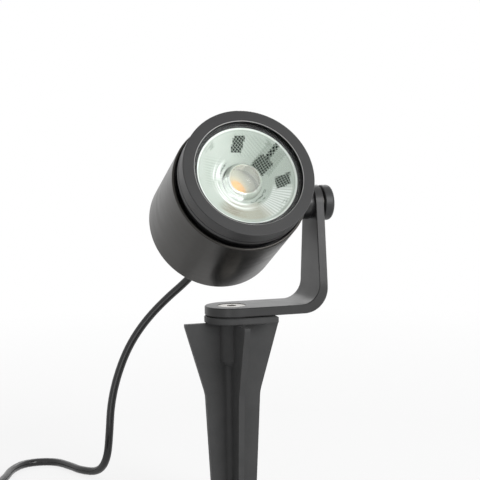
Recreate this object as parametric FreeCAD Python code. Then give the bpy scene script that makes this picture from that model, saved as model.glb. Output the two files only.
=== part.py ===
import FreeCAD, Part
import math
import os

# Garden spike spotlight, in millimetres. +Z is up, the origin is on the soil
# under the screw that the bracket pans on, +X runs along the bracket's foot
# towards its leg, and the lamp looks towards -Y.

# ---- driving dimensions: spike ----
FOOT_TOP = 116.0            # top of the bracket's foot above the soil
BAR_WIDTH = 30.0            # flat bar of the bracket
BAR_THICK = 5.0
PAN_WASHER_THICK = 0.6
PLATE_TOP = FOOT_TOP - BAR_THICK - PAN_WASHER_THICK
PLATE_THICK = 3.7
PLATE_RADIUS = 15.3
PLATE_REACH = 22.4          # its straight end, under the bracket's foot
PLATE_EDGE_BREAK = 0.5
FIN_THICK = 3.2
FIN_REACH_TOP = 27.3        # half width of the fins under the plate
FIN_EDGE_HEIGHT = 1.6       # upright edge of a fin below the plate
FIN_CORNER_RADIUS = 1.5
FIN_REACH_WAIST = 15.9
FIN_REACH_LOW = 7.9
WAIST_Z = PLATE_TOP - 43.8
WAIST_RADIUS = 20.0
POINT_RADIUS = 30.0         # where the fins turn in to the point
POINT_START_Z = -86.0
TIP_Z = -122.0
TIP_REACH = 0.9
BOSS_RADIUS = 7.8
BOSS_DEPTH = 25.4           # below the plate's top
BOSS_NOSE_LENGTH = 2.6      # cone at the boss's lower end
BOSS_NOSE_RADIUS = 5.8
CORE_FILLET = 3.0

# ---- foot screw, M8 countersunk ----
SCREW_RADIUS = 3.98
SCREW_HEAD_RADIUS = 7.8
SCREW_HEAD_LAND = 0.3       # straight edge of the head above its cone
SCREW_SINK = 0.25           # head below the foot's top
SHANK_LENGTH = 20.0
THREAD_LEAD_IN = 0.7
SOCKET_FLATS = 5.0
SOCKET_DEPTH = 2.6
SOCKET_TURN = 10.0          # degrees, as it was left when tightened
RUN_GAP = 0.08              # running clearance between bodies
SEAT_GAP = 0.02             # between faces that seat on each other
CONE_GAP = 0.03             # under the screw's cone
INSERT_RADIUS = 5.0
INSERT_LENGTH = 20.0
INSERT_SINK = 0.1
INSERT_RELIEF = 1.5         # hole below the insert
INSERT_GROOVES = (5.0, 12.0)    # heights of its two gripping grooves
INSERT_GROOVE_WIDTH = 1.6
INSERT_GROOVE_DEPTH = 0.4
PAN_WASHER_RADIUS = 13.0
PAN_WASHER_GAP = 0.4        # round the screw

# ---- bracket and pivot ----
LEG_OUTER_X = 52.1
BEND_OUTER_RADIUS = 13.8
BEND_INNER_RADIUS = 11.0    # the bar is a little thicker in its bend
PIVOT_HEIGHT = 55.5         # above the foot's top
LEG_TOP_RADIUS = 10.2
LEG_TAPER_START = 10.0      # above the foot's top
TAPER_BLEND = 60.0          # radius where the straight sides turn into the taper
EDGE_BREAK = 0.4
STUD_RADIUS = 3.0
THREAD_LEAD_IN_M6 = 0.6
PIVOT_BOSS_RADIUS = 9.0
PIVOT_WASHER_RADIUS = 8.6
PIVOT_WASHER_THICK = 1.0
WASHER_PLAY = 0.05          # beside each washer on the stud
SPIGOT_RADIUS = 5.0         # through the housing's wall
SPIGOT_END = 29.5           # from the head's middle
SHOULDER_START = 34.0       # from the head's middle, inside the saddle cut
NUT_FLATS = 14.0
NUT_THICK = 3.4
NUT_SEAT_REACH = 8.2        # half chord of the bore that the nut's corners rest on
KNOB_RADIUS = 10.0
KNOB_LENGTH = 5.7
KNOB_EDGE_RADIUS = 2.0
KNOB_HUB_RADIUS = 6.0
KNOB_HUB_LENGTH = 0.4
KNOB_SOCKET_FLATS = 5.0
KNOB_SOCKET_DEPTH = 1.6
KNOB_WASHER_RADIUS = 8.0
KNOB_WASHER_THICK = 0.8
STUD_IN_KNOB = 3.8
STUD_TIP = 32.0             # from the head's middle, in the spacer's blind hole
STUD_HOLE_END = 31.0

# ---- head: distances along its own axis from the pivot, nose positive ----
HEAD_X = -2.0
HEAD_LIFT = 27.0            # degrees above the horizontal
HOUSING_RADIUS = 37.9
HOUSING_REAR = -27.3
HOUSING_FRONT = 28.3
HOUSING_EDGE_RADIUS = 0.9
BORE_RADIUS = 35.2
MOUTH_RADIUS = 36.4
MOUTH_FLOOR = 20.0
WEB_FRONT = 15.0
WEB_REAR = 9.0
BEZEL_FACE = 44.5
BEZEL_RADIUS = 36.2
BEZEL_REAR = 32.5
BEZEL_LINE = 35.5           # fine turned line round the bezel
BEZEL_LINE_HALF = 0.2
BEZEL_LINE_DEPTH = 0.35
NECK_RADIUS = 33.4
APERTURE_RADIUS = 29.8
LIP_THICK = 1.0
GLASS_RADIUS = 30.9
GLASS_THICK = 2.0
GASKET_THICK = 0.4
LENS_RADIUS = 27.7
LENS_FRONT = 40.7
LENS_BACK = 19.6
FLANGE_THICK = 2.8
LENS_WALL_TOP = 25.6        # radius of the curved wall under the flange
LENS_WALL_MIDDLE = (18.4, 7.4)  # radius, and height above the lens's back
LENS_FOOT_RADIUS = 9.4
RECESS_MOUTH = 11.2
RECESS_FLOOR = 9.6
RECESS_DEPTH = 9.0
DOME_RISE = 5.0
CAVITY_MOUTH = 7.2
CAVITY_RADIUS = 6.2
CAVITY_DEPTH = 5.6
CAVITY_RISE = 1.4
HOLDER_LEDGE_RADIUS = 26.2
HOLDER_WALL = 1.6
HOLDER_STEP = 0.3           # its front ring above the lens
COVER_RADIUS = 35.9
COVER_THICK = 3.6
COVER_SINK = 0.3            # below the housing's rear edge
COVER_SCREW_CIRCLE = 31.0
COVER_SCREW_ANGLES = (90, 210, 330)
COVER_GROOVE_DEPTH = 1.2
LUG_RADIUS = 5.2
LUG_LENGTH = 10.0
WIRE_HOLE = (4.0, -20.0)    # radius, and place below the middle of the web

# ---- light engine and driver ----
PAD_RADIUS = 14.0
LED_BOARD_RADIUS = 15.0
LED_BOARD_LOW = WEB_FRONT + 0.3
LED_BOARD_TOP = LED_BOARD_LOW + 1.6
LED_BASE_HALF = 6.0
LED_BASE_TOP = LED_BOARD_TOP + 1.0
EMITTER_RADIUS = 4.6
EMITTER_THICK = 0.6
LED_SCREW_X = 11.0
DRIVER_LOW = 0.4
DRIVER_TOP = 2.0
PILLARS = [(sx * 22.0, sy * 16.0) for sx in (-1, 1) for sy in (-1, 1)]
BOARD_SIDES = (-26.0, 26.0, -23.0, 20.0)
CHOKE = (14.0, -2.0, 2.4, 6.6, 7.0)             # x, y, bore radius, radius, height
CAPACITORS = ((-14.0, 9.0, 5.0, 12.0),          # x, y, radius, height
              (-14.0, -5.0, 4.0, 10.0))
BLOCKS = ((4.0, 12.0, 8.0, 14.0, 2.2),          # x and y sides, height; the last
          (-4.0, 2.0, 10.0, 15.0, 1.8),         # is the terminal block
          (0.0, 5.0, -16.0, -11.0, 1.8),
          (-8.0, -3.0, -14.0, -10.0, 1.6),
          (-5.0, 5.0, -2.5, 4.5, 8.0))
PILLAR_RADIUS = 2.6
PILLAR_SCREW_RADIUS = 1.3
SMALL_SCREW_RADIUS = 1.5
SMALL_HEAD_RADIUS = 2.7
SMALL_HEAD_HEIGHT = 1.5
WIRE_RADIUS = 0.8

# ---- gland ----
GLAND_END = -42.0
GLAND_STEM_RADIUS = 6.0
GLAND_THREAD_RADIUS = 5.6
GLAND_THREAD_END = -36.0
GLAND_FLATS = 16.0
GLAND_FLANGE_THICK = 3.4
GLAND_NUT_RADIUS = 7.4
GLAND_NUT_FLATS = 14.0
GLAND_INNER_END = -20.0
SHEATH_END = -17.0          # the lead's sheath is stripped from here
SEAL_STAND = 0.8            # rubber sleeve beyond the nut
SEAL_THICK = 1.35
SEAL_LIP_THICK = 0.55

# ---- lead ----
LEAD_DIAMETER = 4.8
LEAD_RADIUS = LEAD_DIAMETER / 2
COIL_CENTRE = (-116.0, 16.0)
COIL_OUTER_RADIUS = 34.0    # centre line of the outermost turn
COIL_PITCH = 5.4            # from turn to turn and from layer to layer
COIL_TURNS_IN = 3.25        # lower layer, winding inwards
COIL_TURNS = 6.25
COIL_FLOOR_GAP = 0.8        # the tie passes under the coil here
COIL_APPROACH = 24.0        # straight stretch before the coil
PLUG_DIP = 3.0              # degrees; the plug's nose rests on the soil
PLUG_RADIUS = 6.0
TAIL_LENGTH = 13.0
BOOT_LENGTH = 16.0
PLUG_LENGTH = 26.0
NOSE_LENGTH = 8.0
NOSE_RADIUS = 4.9
SEAL_GROOVE_RADIUS = 4.1
PLUG_RIBS = 5
RIB_PITCH = 2.4
PIN_RADIUS = 1.0
PIN_LENGTH = 9.0
PIN_ROOT_RADIUS = 0.8       # inside the plug
PIN_ROOT_LENGTH = 6.0
PIN_SPACING = 5.0
TIE_ANGLE = 60.0            # round the coil, from +X
TIE_WIDTH = 4.0
TIE_THICK = 0.6

TOUCH = 1e-6                # lengths below this count as nothing
V = FreeCAD.Vector
X_AXIS, Y_AXIS, Z_AXIS = V(1, 0, 0), V(0, 1, 0), V(0, 0, 1)
ORIGIN = V(0, 0, 0)
PIVOT = V(HEAD_X, 0, FOOT_TOP + PIVOT_HEIGHT)
HOUSING_SIDE_X = HEAD_X + HOUSING_RADIUS
LEG_INNER_X = LEG_OUTER_X - BAR_THICK
KNOB_SEAT_X = LEG_OUTER_X + KNOB_WASHER_THICK + 2 * WASHER_PLAY
SEAL_END = GLAND_END - SEAL_STAND


# ---- shape helpers ----
def outline(corners, place):
    """Closed face through corners (a, b) or (a, b, radius), rounded by tangent arcs."""
    flat = [(V(c[0], c[1], 0), c[2] if len(c) > 2 else 0.0) for c in corners]
    spans = []
    for i, (corner, radius) in enumerate(flat):
        if not radius:
            spans.append((corner, None, corner))
            continue
        back = (flat[i - 1][0] - corner).normalize()
        ahead = (flat[(i + 1) % len(flat)][0] - corner).normalize()
        half = back.getAngle(ahead) / 2
        setback = radius / math.tan(half)
        bisector = (back + ahead).normalize()
        middle = corner + bisector * (radius / math.sin(half) - radius)
        spans.append((corner + back * setback, middle, corner + ahead * setback))
    edges = []
    for i, (start, middle, end) in enumerate(spans):
        if middle is not None:
            edges.append(Part.Arc(place(start), place(middle), place(end)).toShape())
        following = spans[(i + 1) % len(spans)][0]
        if (following - end).Length > TOUCH:
            edges.append(Part.LineSegment(place(end), place(following)).toShape())
    return Part.Face(Part.Wire(edges))


def in_xz(point):
    return V(point.x, 0, point.y)


def in_yz(point):
    return V(0, point.x, point.y)


def in_xy(point):
    return V(point.x, point.y, 0)


def turned(*corners):
    """Solid of revolution about Z from corners (radius, height[, rounding])."""
    return outline(corners, in_xz).revolve(ORIGIN, Z_AXIS, 360)


def rod(radius, low, high, x=0.0, y=0.0):
    return Part.makeCylinder(radius, high - low, V(x, y, low), Z_AXIS)


def ring(outer, inner, low, high):
    return turned((inner, low), (outer, low), (outer, high), (inner, high))


def box(x0, x1, y0, y1, z0, z1):
    return Part.makeBox(x1 - x0, y1 - y0, z1 - z0, V(x0, y0, z0))


def hexagon(flats, low, high, turn=0.0):
    """Hexagonal prism about Z."""
    reach = flats / math.sqrt(3)
    angles = [math.radians(60 * i + turn) for i in range(6)]
    face = outline([(reach * math.cos(a), reach * math.sin(a)) for a in angles], in_xy)
    face.translate(V(0, 0, low))
    return face.extrude(V(0, 0, high - low))


def fused(first, *others):
    return first.fuse(list(others)).removeSplitter() if others else first


def on_pivot(shape):
    """Turn a shape made about Z, with Z = 0 at x = 0, onto the pivot axis along +X."""
    shape.rotate(ORIGIN, Y_AXIS, 90)
    shape.translate(V(0, 0, PIVOT.z))
    return shape


def in_head(shape):
    """Turn a shape made about the head's own axis to its lift, at the pivot."""
    shape.rotate(ORIGIN, X_AXIS, 90 - HEAD_LIFT)
    shape.translate(PIVOT)
    return shape


def head_point(x, y, along):
    """Row point of a head point given across, up and along the head's axis."""
    turn = math.radians(90 - HEAD_LIFT)
    return PIVOT + V(x, y * math.cos(turn) - along * math.sin(turn),
                     y * math.sin(turn) + along * math.cos(turn))


# ---- cord helpers ----
def run_and_arc_edges(points):
    """Straight runs joined by tangent arcs, each 0.45 of its shorter run long."""
    edges = []
    radii = []
    start = points[0]
    for before, corner, after in zip(points, points[1:], points[2:]):
        back = (before - corner)
        ahead = (after - corner)
        setback = 0.45 * min(back.Length, ahead.Length)
        back.normalize()
        ahead.normalize()
        half = back.getAngle(ahead) / 2
        radius = setback * math.tan(half)
        middle = corner + (back + ahead).normalize() * (radius / math.sin(half) - radius)
        enter = corner + back * setback
        leave = corner + ahead * setback
        edges.append(Part.LineSegment(start, enter).toShape())
        edges.append(Part.Arc(enter, middle, leave).toShape())
        radii.append(radius)
        start = leave
    edges.append(Part.LineSegment(start, points[-1]).toShape())
    return edges, radii


def biarc(start, start_way, end, end_way):
    """Two arcs from start to end that leave and arrive along the given ways."""
    across = end - start
    both = start_way + end_way
    spread = 2 * (1 - start_way.dot(end_way))
    along = across.dot(both)
    reach = (math.sqrt(along ** 2 + spread * across.dot(across)) - along) / spread
    corners = start + start_way * reach, end - end_way * reach
    joint = (corners[0] + corners[1]) / 2
    edges = []
    for first, corner, last in ((start, corners[0], joint), (joint, corners[1], end)):
        turn = (corner - first).getAngle(last - corner)
        chord_middle = (first + last) / 2
        inward = (chord_middle - corner).normalize()
        middle = corner + inward * (reach * math.tan(turn / 4))
        edges.append(Part.Arc(first, middle, last).toShape())
    return edges


def tube(edges, radius, name):
    """Round tube along a path; its volume is compared with section times length."""
    path = Part.Wire(edges)
    start = path.Edges[0].valueAt(path.Edges[0].FirstParameter)
    way = path.Edges[0].tangentAt(path.Edges[0].FirstParameter)
    section = Part.Wire([Part.Circle(start, way, radius).toShape()])
    solid = path.makePipeShell([section], True, False)
    expected = math.pi * radius ** 2 * path.Length
    print("%s: length %.1f mm, volume / (section x length) %.4f"
          % (name, path.Length, solid.Volume / expected))
    return solid


# ---- spike ----
def fin_outline():
    """Half outline of a fin: flared under the plate, slow taper, then the point."""
    top = PLATE_TOP - PLATE_THICK
    return [(0, top), (FIN_REACH_TOP, top),
            (FIN_REACH_TOP, top - FIN_EDGE_HEIGHT, FIN_CORNER_RADIUS),
            (FIN_REACH_WAIST, WAIST_Z, WAIST_RADIUS),
            (FIN_REACH_LOW, POINT_START_Z, POINT_RADIUS),
            (TIP_REACH, TIP_Z), (0, TIP_Z)]


def spike():
    half_fin = outline(fin_outline(), in_xz)
    plate = fused(rod(PLATE_RADIUS, PLATE_TOP - PLATE_THICK, PLATE_TOP),
                  box(0, PLATE_REACH, -PLATE_RADIUS, PLATE_RADIUS,
                      PLATE_TOP - PLATE_THICK, PLATE_TOP))
    rim = [e for e in plate.Edges if abs(e.BoundBox.ZMax - e.BoundBox.ZMin) < TOUCH]
    plate = plate.makeChamfer(PLATE_EDGE_BREAK, rim)
    fin = half_fin.extrude(V(0, FIN_THICK, 0))
    fin.translate(V(0, -FIN_THICK / 2, 0))
    fins = []
    for quarter in range(4):
        turned_fin = fin.copy()
        turned_fin.rotate(ORIGIN, Z_AXIS, 90 * quarter)
        fins.append(turned_fin)
    # The core between the fins is a square rod with hollow corners, cut to the
    # same outline as the fins so that it dies away into the point.
    reach = FIN_THICK / 2 + CORE_FILLET
    core = box(-reach, reach, -reach, reach, TIP_Z, PLATE_TOP - PLATE_THICK)
    hollows = [rod(CORE_FILLET, TIP_Z - 1, PLATE_TOP, sx * reach, sy * reach)
               for sx in (-1, 1) for sy in (-1, 1)]
    envelope = half_fin.revolve(ORIGIN, Z_AXIS, 360)
    core = core.cut(hollows).common(envelope)
    boss_low = PLATE_TOP - BOSS_DEPTH
    nose_low = boss_low - BOSS_NOSE_LENGTH
    boss = turned((0, nose_low), (BOSS_NOSE_RADIUS, nose_low),
                  (BOSS_RADIUS, boss_low), (BOSS_RADIUS, PLATE_TOP - 1), (0, PLATE_TOP - 1))
    body = fused(plate, core, boss, *fins)
    return body.cut(rod(INSERT_RADIUS, PLATE_TOP - INSERT_LENGTH - INSERT_RELIEF, PLATE_TOP + 1))


def spike_insert():
    low = PLATE_TOP - INSERT_LENGTH
    body = ring(INSERT_RADIUS, SCREW_RADIUS, low, PLATE_TOP - INSERT_SINK)
    grooves = [ring(INSERT_RADIUS + 1, INSERT_RADIUS - INSERT_GROOVE_DEPTH, low + z,
                    low + z + INSERT_GROOVE_WIDTH) for z in INSERT_GROOVES]
    return body.cut(grooves)


def pan_washer():
    return ring(PAN_WASHER_RADIUS, SCREW_RADIUS + PAN_WASHER_GAP, PLATE_TOP,
                FOOT_TOP - BAR_THICK - SEAT_GAP)


def foot_screw():
    top = FOOT_TOP - SCREW_SINK
    shank_top = top - SCREW_HEAD_LAND - (SCREW_HEAD_RADIUS - SCREW_RADIUS)
    tip = shank_top - SHANK_LENGTH
    body = turned((0, tip), (SCREW_RADIUS - THREAD_LEAD_IN, tip),
                  (SCREW_RADIUS, tip + THREAD_LEAD_IN),
                  (SCREW_RADIUS, shank_top), (SCREW_HEAD_RADIUS, top - SCREW_HEAD_LAND),
                  (SCREW_HEAD_RADIUS, top), (0, top))
    return body.cut(hexagon(SOCKET_FLATS, top - SOCKET_DEPTH, top + 1, SOCKET_TURN))


# ---- bracket ----
def follows_outline(edge):
    """True for the bar's long corners, not for lines across or through the bar."""
    size = edge.BoundBox
    across = size.XLength < TOUCH and size.ZLength < TOUCH
    through = size.YLength < TOUCH and edge.Length < BAR_THICK + 0.1
    return not across and not through


def bracket():
    foot_low = FOOT_TOP - BAR_THICK
    leg_top = FOOT_TOP + PIVOT_HEIGHT + LEG_TOP_RADIUS
    start_x = -BAR_WIDTH / 2
    bent = outline([(start_x, foot_low), (LEG_OUTER_X, foot_low, BEND_OUTER_RADIUS),
                    (LEG_OUTER_X, leg_top), (LEG_INNER_X, leg_top),
                    (LEG_INNER_X, FOOT_TOP, BEND_INNER_RADIUS), (start_x, FOOT_TOP)], in_xz)
    bar = bent.extrude(V(0, BAR_WIDTH, 0))
    bar.translate(V(0, -BAR_WIDTH / 2, 0))
    plan = fused(rod(BAR_WIDTH / 2, foot_low, leg_top),
                 box(0, LEG_OUTER_X, -BAR_WIDTH / 2, BAR_WIDTH / 2, foot_low, leg_top))
    # Front view of the leg: straight, then tapering onto the round top.
    half_width = BAR_WIDTH / 2
    taper_z = FOOT_TOP + LEG_TAPER_START
    rise = PIVOT.z - taper_z
    lean = math.atan2(half_width, rise)
    touch = lean + math.acos(LEG_TOP_RADIUS / math.hypot(half_width, rise)) - math.pi / 2
    touch_y = LEG_TOP_RADIUS * math.cos(touch)
    touch_z = PIVOT.z + LEG_TOP_RADIUS * math.sin(touch)
    slope = (touch_y - half_width) / (touch_z - taper_z)
    shoulder = half_width + slope * (leg_top - taper_z)
    front = outline([(-half_width, foot_low), (half_width, foot_low),
                     (half_width, taper_z, TAPER_BLEND), (shoulder, leg_top, LEG_TOP_RADIUS),
                     (-shoulder, leg_top, LEG_TOP_RADIUS),
                     (-half_width, taper_z, TAPER_BLEND)], in_yz)
    front.translate(V(start_x, 0, 0))
    body = bar.common(plan).common(front.extrude(V(LEG_OUTER_X + BAR_WIDTH, 0, 0)))
    body = body.removeSplitter()
    body = body.makeChamfer(EDGE_BREAK, [e for e in body.Edges if follows_outline(e)])
    sink = SCREW_HEAD_RADIUS - SCREW_RADIUS
    cone_top = FOOT_TOP - SCREW_SINK - SCREW_HEAD_LAND - CONE_GAP
    hole = turned((0, foot_low - 1), (SCREW_RADIUS + RUN_GAP, foot_low - 1),
                  (SCREW_RADIUS + RUN_GAP, cone_top - sink),
                  (SCREW_HEAD_RADIUS + RUN_GAP, cone_top),
                  (SCREW_HEAD_RADIUS + RUN_GAP, FOOT_TOP + 1), (0, FOOT_TOP + 1))
    stud_hole = on_pivot(rod(STUD_RADIUS + RUN_GAP, LEG_INNER_X - 1, LEG_OUTER_X + 1))
    return body.cut([hole, stud_hole])


# ---- pivot and knob, made along +X from x = 0 ----
def pivot_boss():
    """Turned spacer that saddles the barrel, with a spigot through its wall."""
    face_x = LEG_INNER_X - PIVOT_WASHER_THICK
    end_x = HEAD_X + SPIGOT_END
    shoulder_x = HEAD_X + SHOULDER_START
    body = turned((0, end_x), (SPIGOT_RADIUS, end_x), (SPIGOT_RADIUS, shoulder_x),
                  (PIVOT_BOSS_RADIUS, shoulder_x), (PIVOT_BOSS_RADIUS, face_x, 0.6), (0, face_x))
    body = on_pivot(body)
    saddle = in_head(rod(HOUSING_RADIUS, -12, 12))
    spigot = on_pivot(rod(SPIGOT_RADIUS, end_x, HOUSING_SIDE_X))
    body = fused(body.cut(saddle), spigot)
    return body.cut(on_pivot(rod(STUD_RADIUS + RUN_GAP, HEAD_X + STUD_HOLE_END, face_x + 1)))


def pivot_nut():
    seat_x = HEAD_X + math.sqrt(BORE_RADIUS ** 2 - NUT_SEAT_REACH ** 2)
    nut = hexagon(NUT_FLATS, seat_x - NUT_THICK, seat_x - SEAT_GAP)
    return on_pivot(nut.cut(rod(SPIGOT_RADIUS, 0, seat_x + 1)))


def pivot_washer():
    return on_pivot(ring(PIVOT_WASHER_RADIUS, STUD_RADIUS + 0.3,
                         LEG_INNER_X - PIVOT_WASHER_THICK, LEG_INNER_X - WASHER_PLAY))


def knob_washer():
    low = LEG_OUTER_X + WASHER_PLAY
    return on_pivot(ring(KNOB_WASHER_RADIUS, STUD_RADIUS + 0.2, low, low + KNOB_WASHER_THICK))


def tilt_knob():
    seat = KNOB_SEAT_X
    rim = seat + KNOB_HUB_LENGTH
    face = rim + KNOB_LENGTH
    body = turned((0, seat), (KNOB_HUB_RADIUS, seat), (KNOB_HUB_RADIUS, rim),
                  (KNOB_RADIUS, rim, 0.6), (KNOB_RADIUS, face, KNOB_EDGE_RADIUS), (0, face))
    socket = hexagon(KNOB_SOCKET_FLATS, face - KNOB_SOCKET_DEPTH, face + 1)
    stud_seat = rod(STUD_RADIUS, seat - 1, seat + STUD_IN_KNOB)
    return on_pivot(body.cut([socket, stud_seat]))


def knob_stud():
    low = HEAD_X + STUD_TIP
    high = KNOB_SEAT_X + STUD_IN_KNOB
    return on_pivot(turned((0, low), (STUD_RADIUS - THREAD_LEAD_IN_M6, low),
                           (STUD_RADIUS, low + THREAD_LEAD_IN_M6),
                           (STUD_RADIUS, high), (0, high)))


# ---- head shell, made along +Z about the head's axis ----
def around(radius, angles):
    return [(radius * math.cos(math.radians(a)), radius * math.sin(math.radians(a)))
            for a in angles]


def housing():
    cover_floor = HOUSING_REAR + COVER_SINK + COVER_THICK
    shell = turned((MOUTH_RADIUS, HOUSING_FRONT, 0.3), (MOUTH_RADIUS, MOUTH_FLOOR),
                   (BORE_RADIUS, MOUTH_FLOOR), (BORE_RADIUS, WEB_FRONT), (0, WEB_FRONT),
                   (0, WEB_REAR), (BORE_RADIUS, WEB_REAR), (BORE_RADIUS, cover_floor),
                   (COVER_RADIUS + 0.1, cover_floor), (COVER_RADIUS + 0.1, HOUSING_REAR, 0.3),
                   (HOUSING_RADIUS, HOUSING_REAR, HOUSING_EDGE_RADIUS),
                   (HOUSING_RADIUS, HOUSING_FRONT, HOUSING_EDGE_RADIUS))
    lug_end = cover_floor + LUG_LENGTH
    lugs = [rod(LUG_RADIUS, cover_floor, lug_end, x, y).common(
                rod(BORE_RADIUS + 0.5, cover_floor, lug_end))
            for x, y in around(COVER_SCREW_CIRCLE, COVER_SCREW_ANGLES)]
    shell = fused(shell, *lugs)
    cuts = [rod(SMALL_SCREW_RADIUS, HOUSING_REAR, lug_end - 2, x, y)
            for x, y in around(COVER_SCREW_CIRCLE, COVER_SCREW_ANGLES)]
    wire_radius, wire_y = WIRE_HOLE
    cuts.append(rod(wire_radius, WEB_REAR - 1, WEB_FRONT + 1, 0, wire_y))
    cuts += [rod(SMALL_SCREW_RADIUS, WEB_REAR + 1, WEB_FRONT + 1, x, 0)
             for x in (-LED_SCREW_X, LED_SCREW_X)]
    cuts += [rod(PILLAR_SCREW_RADIUS, WEB_REAR - 1, WEB_REAR + 4, x, y) for x, y in PILLARS]
    shell = in_head(shell.cut(cuts))
    return shell.cut(on_pivot(rod(SPIGOT_RADIUS, HEAD_X + SPIGOT_END, HOUSING_SIDE_X + 1)))


def bezel():
    lip = BEZEL_FACE - LIP_THICK
    inner = GLASS_RADIUS + 0.1
    line = BEZEL_RADIUS - BEZEL_LINE_DEPTH
    line_low, line_high = BEZEL_LINE - BEZEL_LINE_HALF, BEZEL_LINE + BEZEL_LINE_HALF
    return turned((APERTURE_RADIUS, BEZEL_FACE, 0.35), (APERTURE_RADIUS, lip), (inner, lip),
                  (inner, WEB_FRONT), (BORE_RADIUS - 0.1, WEB_FRONT),
                  (BORE_RADIUS - 0.1, MOUTH_FLOOR), (NECK_RADIUS, MOUTH_FLOOR),
                  (NECK_RADIUS, BEZEL_REAR), (BEZEL_RADIUS, BEZEL_REAR, 0.3),
                  (BEZEL_RADIUS, line_low), (line, line_low), (line, line_high),
                  (BEZEL_RADIUS, line_high), (BEZEL_RADIUS, BEZEL_FACE, 0.5))


def bezel_oring():
    middle = (NECK_RADIUS + MOUTH_RADIUS) / 2
    thick = (MOUTH_RADIUS - NECK_RADIUS) / 2 - 0.01
    return Part.makeTorus(middle, thick, V(0, 0, MOUTH_FLOOR + thick + 0.05), Z_AXIS)


def glass_gasket():
    top = BEZEL_FACE - LIP_THICK
    return ring(GLASS_RADIUS, APERTURE_RADIUS + 0.1, top - GASKET_THICK, top)


def front_glass():
    top = BEZEL_FACE - LIP_THICK - GASKET_THICK
    return turned((0, top - GLASS_THICK), (GLASS_RADIUS, top - GLASS_THICK, 0.3),
                  (GLASS_RADIUS, top, 0.3), (0, top))


def cap_middle(rim, low, top):
    """Point half way along the arc of a ball cap from its top to its rim."""
    rise = top - low
    radius = (rim ** 2 + rise ** 2) / (2 * rise)
    half = math.asin(rim / radius) / 2
    return V(radius * math.sin(half), 0, top - radius * (1 - math.cos(half)))


def lens():
    """Collimator: LED cavity behind, curved wall, flange, and a recess with a dome."""
    flange_low = LENS_FRONT - FLANGE_THICK
    dome_low = LENS_FRONT - RECESS_DEPTH
    dome_top = dome_low + DOME_RISE
    cavity_low = LENS_BACK + CAVITY_DEPTH
    cavity_top = cavity_low + CAVITY_RISE
    wall_radius, wall_height = LENS_WALL_MIDDLE
    bottom = V(0, 0, cavity_top)
    top = V(0, 0, dome_top)
    dome_rim = V(RECESS_FLOOR, 0, dome_low)
    mouth = V(RECESS_MOUTH, 0, LENS_FRONT)
    rim = V(LENS_RADIUS, 0, LENS_FRONT)
    rim_low = V(LENS_RADIUS, 0, flange_low)
    wall_top = V(LENS_WALL_TOP, 0, flange_low)
    wall_low = V(LENS_FOOT_RADIUS, 0, LENS_BACK)
    cavity_mouth = V(CAVITY_MOUTH, 0, LENS_BACK)
    cavity_rim = V(CAVITY_RADIUS, 0, cavity_low)
    edges = [Part.LineSegment(bottom, top),
             Part.Arc(top, cap_middle(RECESS_FLOOR, dome_low, dome_top), dome_rim),
             Part.LineSegment(dome_rim, mouth),
             Part.LineSegment(mouth, rim),
             Part.LineSegment(rim, rim_low),
             Part.LineSegment(rim_low, wall_top),
             Part.Arc(wall_top, V(wall_radius, 0, LENS_BACK + wall_height), wall_low),
             Part.LineSegment(wall_low, cavity_mouth),
             Part.LineSegment(cavity_mouth, cavity_rim),
             Part.Arc(cavity_rim, cap_middle(CAVITY_RADIUS, cavity_low, cavity_top), bottom)]
    section = Part.Face(Part.Wire([e.toShape() for e in edges]))
    return section.revolve(ORIGIN, Z_AXIS, 360)


def lens_holder():
    """Black cup: wall, front ring round the lens, and the ledge under its flange."""
    outer = GLASS_RADIUS - 0.1
    inner = outer - HOLDER_WALL
    front = LENS_FRONT + HOLDER_STEP
    ledge = LENS_FRONT - FLANGE_THICK - 0.1
    under = ledge - HOLDER_WALL
    return turned((LENS_RADIUS + 0.1, front), (LENS_RADIUS + 0.1, ledge),
                  (HOLDER_LEDGE_RADIUS, ledge), (HOLDER_LEDGE_RADIUS, under), (inner, under),
                  (inner, WEB_FRONT), (outer, WEB_FRONT), (outer, front))


# ---- light engine and driver ----
def thermal_pad():
    pad = rod(PAD_RADIUS, WEB_FRONT, LED_BOARD_LOW)
    return pad.cut([rod(1.9, WEB_FRONT - 1, WEB_FRONT + 1, x, 0)
                    for x in (-LED_SCREW_X, LED_SCREW_X)])


def led_board():
    board = rod(LED_BOARD_RADIUS, LED_BOARD_LOW, LED_BOARD_TOP)
    return board.cut([rod(1.6, WEB_FRONT, LED_BOARD_TOP + 1, x, 0)
                      for x in (-LED_SCREW_X, LED_SCREW_X)])


def led_base():
    return box(-LED_BASE_HALF, LED_BASE_HALF, -LED_BASE_HALF, LED_BASE_HALF,
               LED_BOARD_TOP, LED_BASE_TOP)


def led_emitter():
    top = LED_BASE_TOP + EMITTER_THICK
    return turned((0, LED_BASE_TOP), (EMITTER_RADIUS, LED_BASE_TOP), (EMITTER_RADIUS, top, 0.25),
                  (0, top))


def small_screw(x, y, head_low, shank, way=1):
    """Pan-head screw with a cross slot, head towards way along the head's axis."""
    top = SMALL_HEAD_HEIGHT
    body = fused(rod(SMALL_SCREW_RADIUS, -shank, 0.1),
                 turned((0, 0), (SMALL_HEAD_RADIUS, 0), (SMALL_HEAD_RADIUS, top, 0.7), (0, top)))
    slot_low, slot_high = top - 0.7, top + 0.5
    body = body.cut([box(-1.6, 1.6, -0.25, 0.25, slot_low, slot_high),
                     box(-0.25, 0.25, -1.6, 1.6, slot_low, slot_high)])
    if way < 0:
        body.rotate(ORIGIN, X_AXIS, 180)
    body.translate(V(x, y, head_low))
    return body


def led_screws():
    return [small_screw(x, 0, LED_BOARD_TOP, 6.0) for x in (-LED_SCREW_X, LED_SCREW_X)]


def driver_board():
    board = box(*BOARD_SIDES, DRIVER_LOW, DRIVER_TOP)
    return board.cut([rod(1.6, DRIVER_LOW - 1, DRIVER_TOP + 1, x, y) for x, y in PILLARS])


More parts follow.
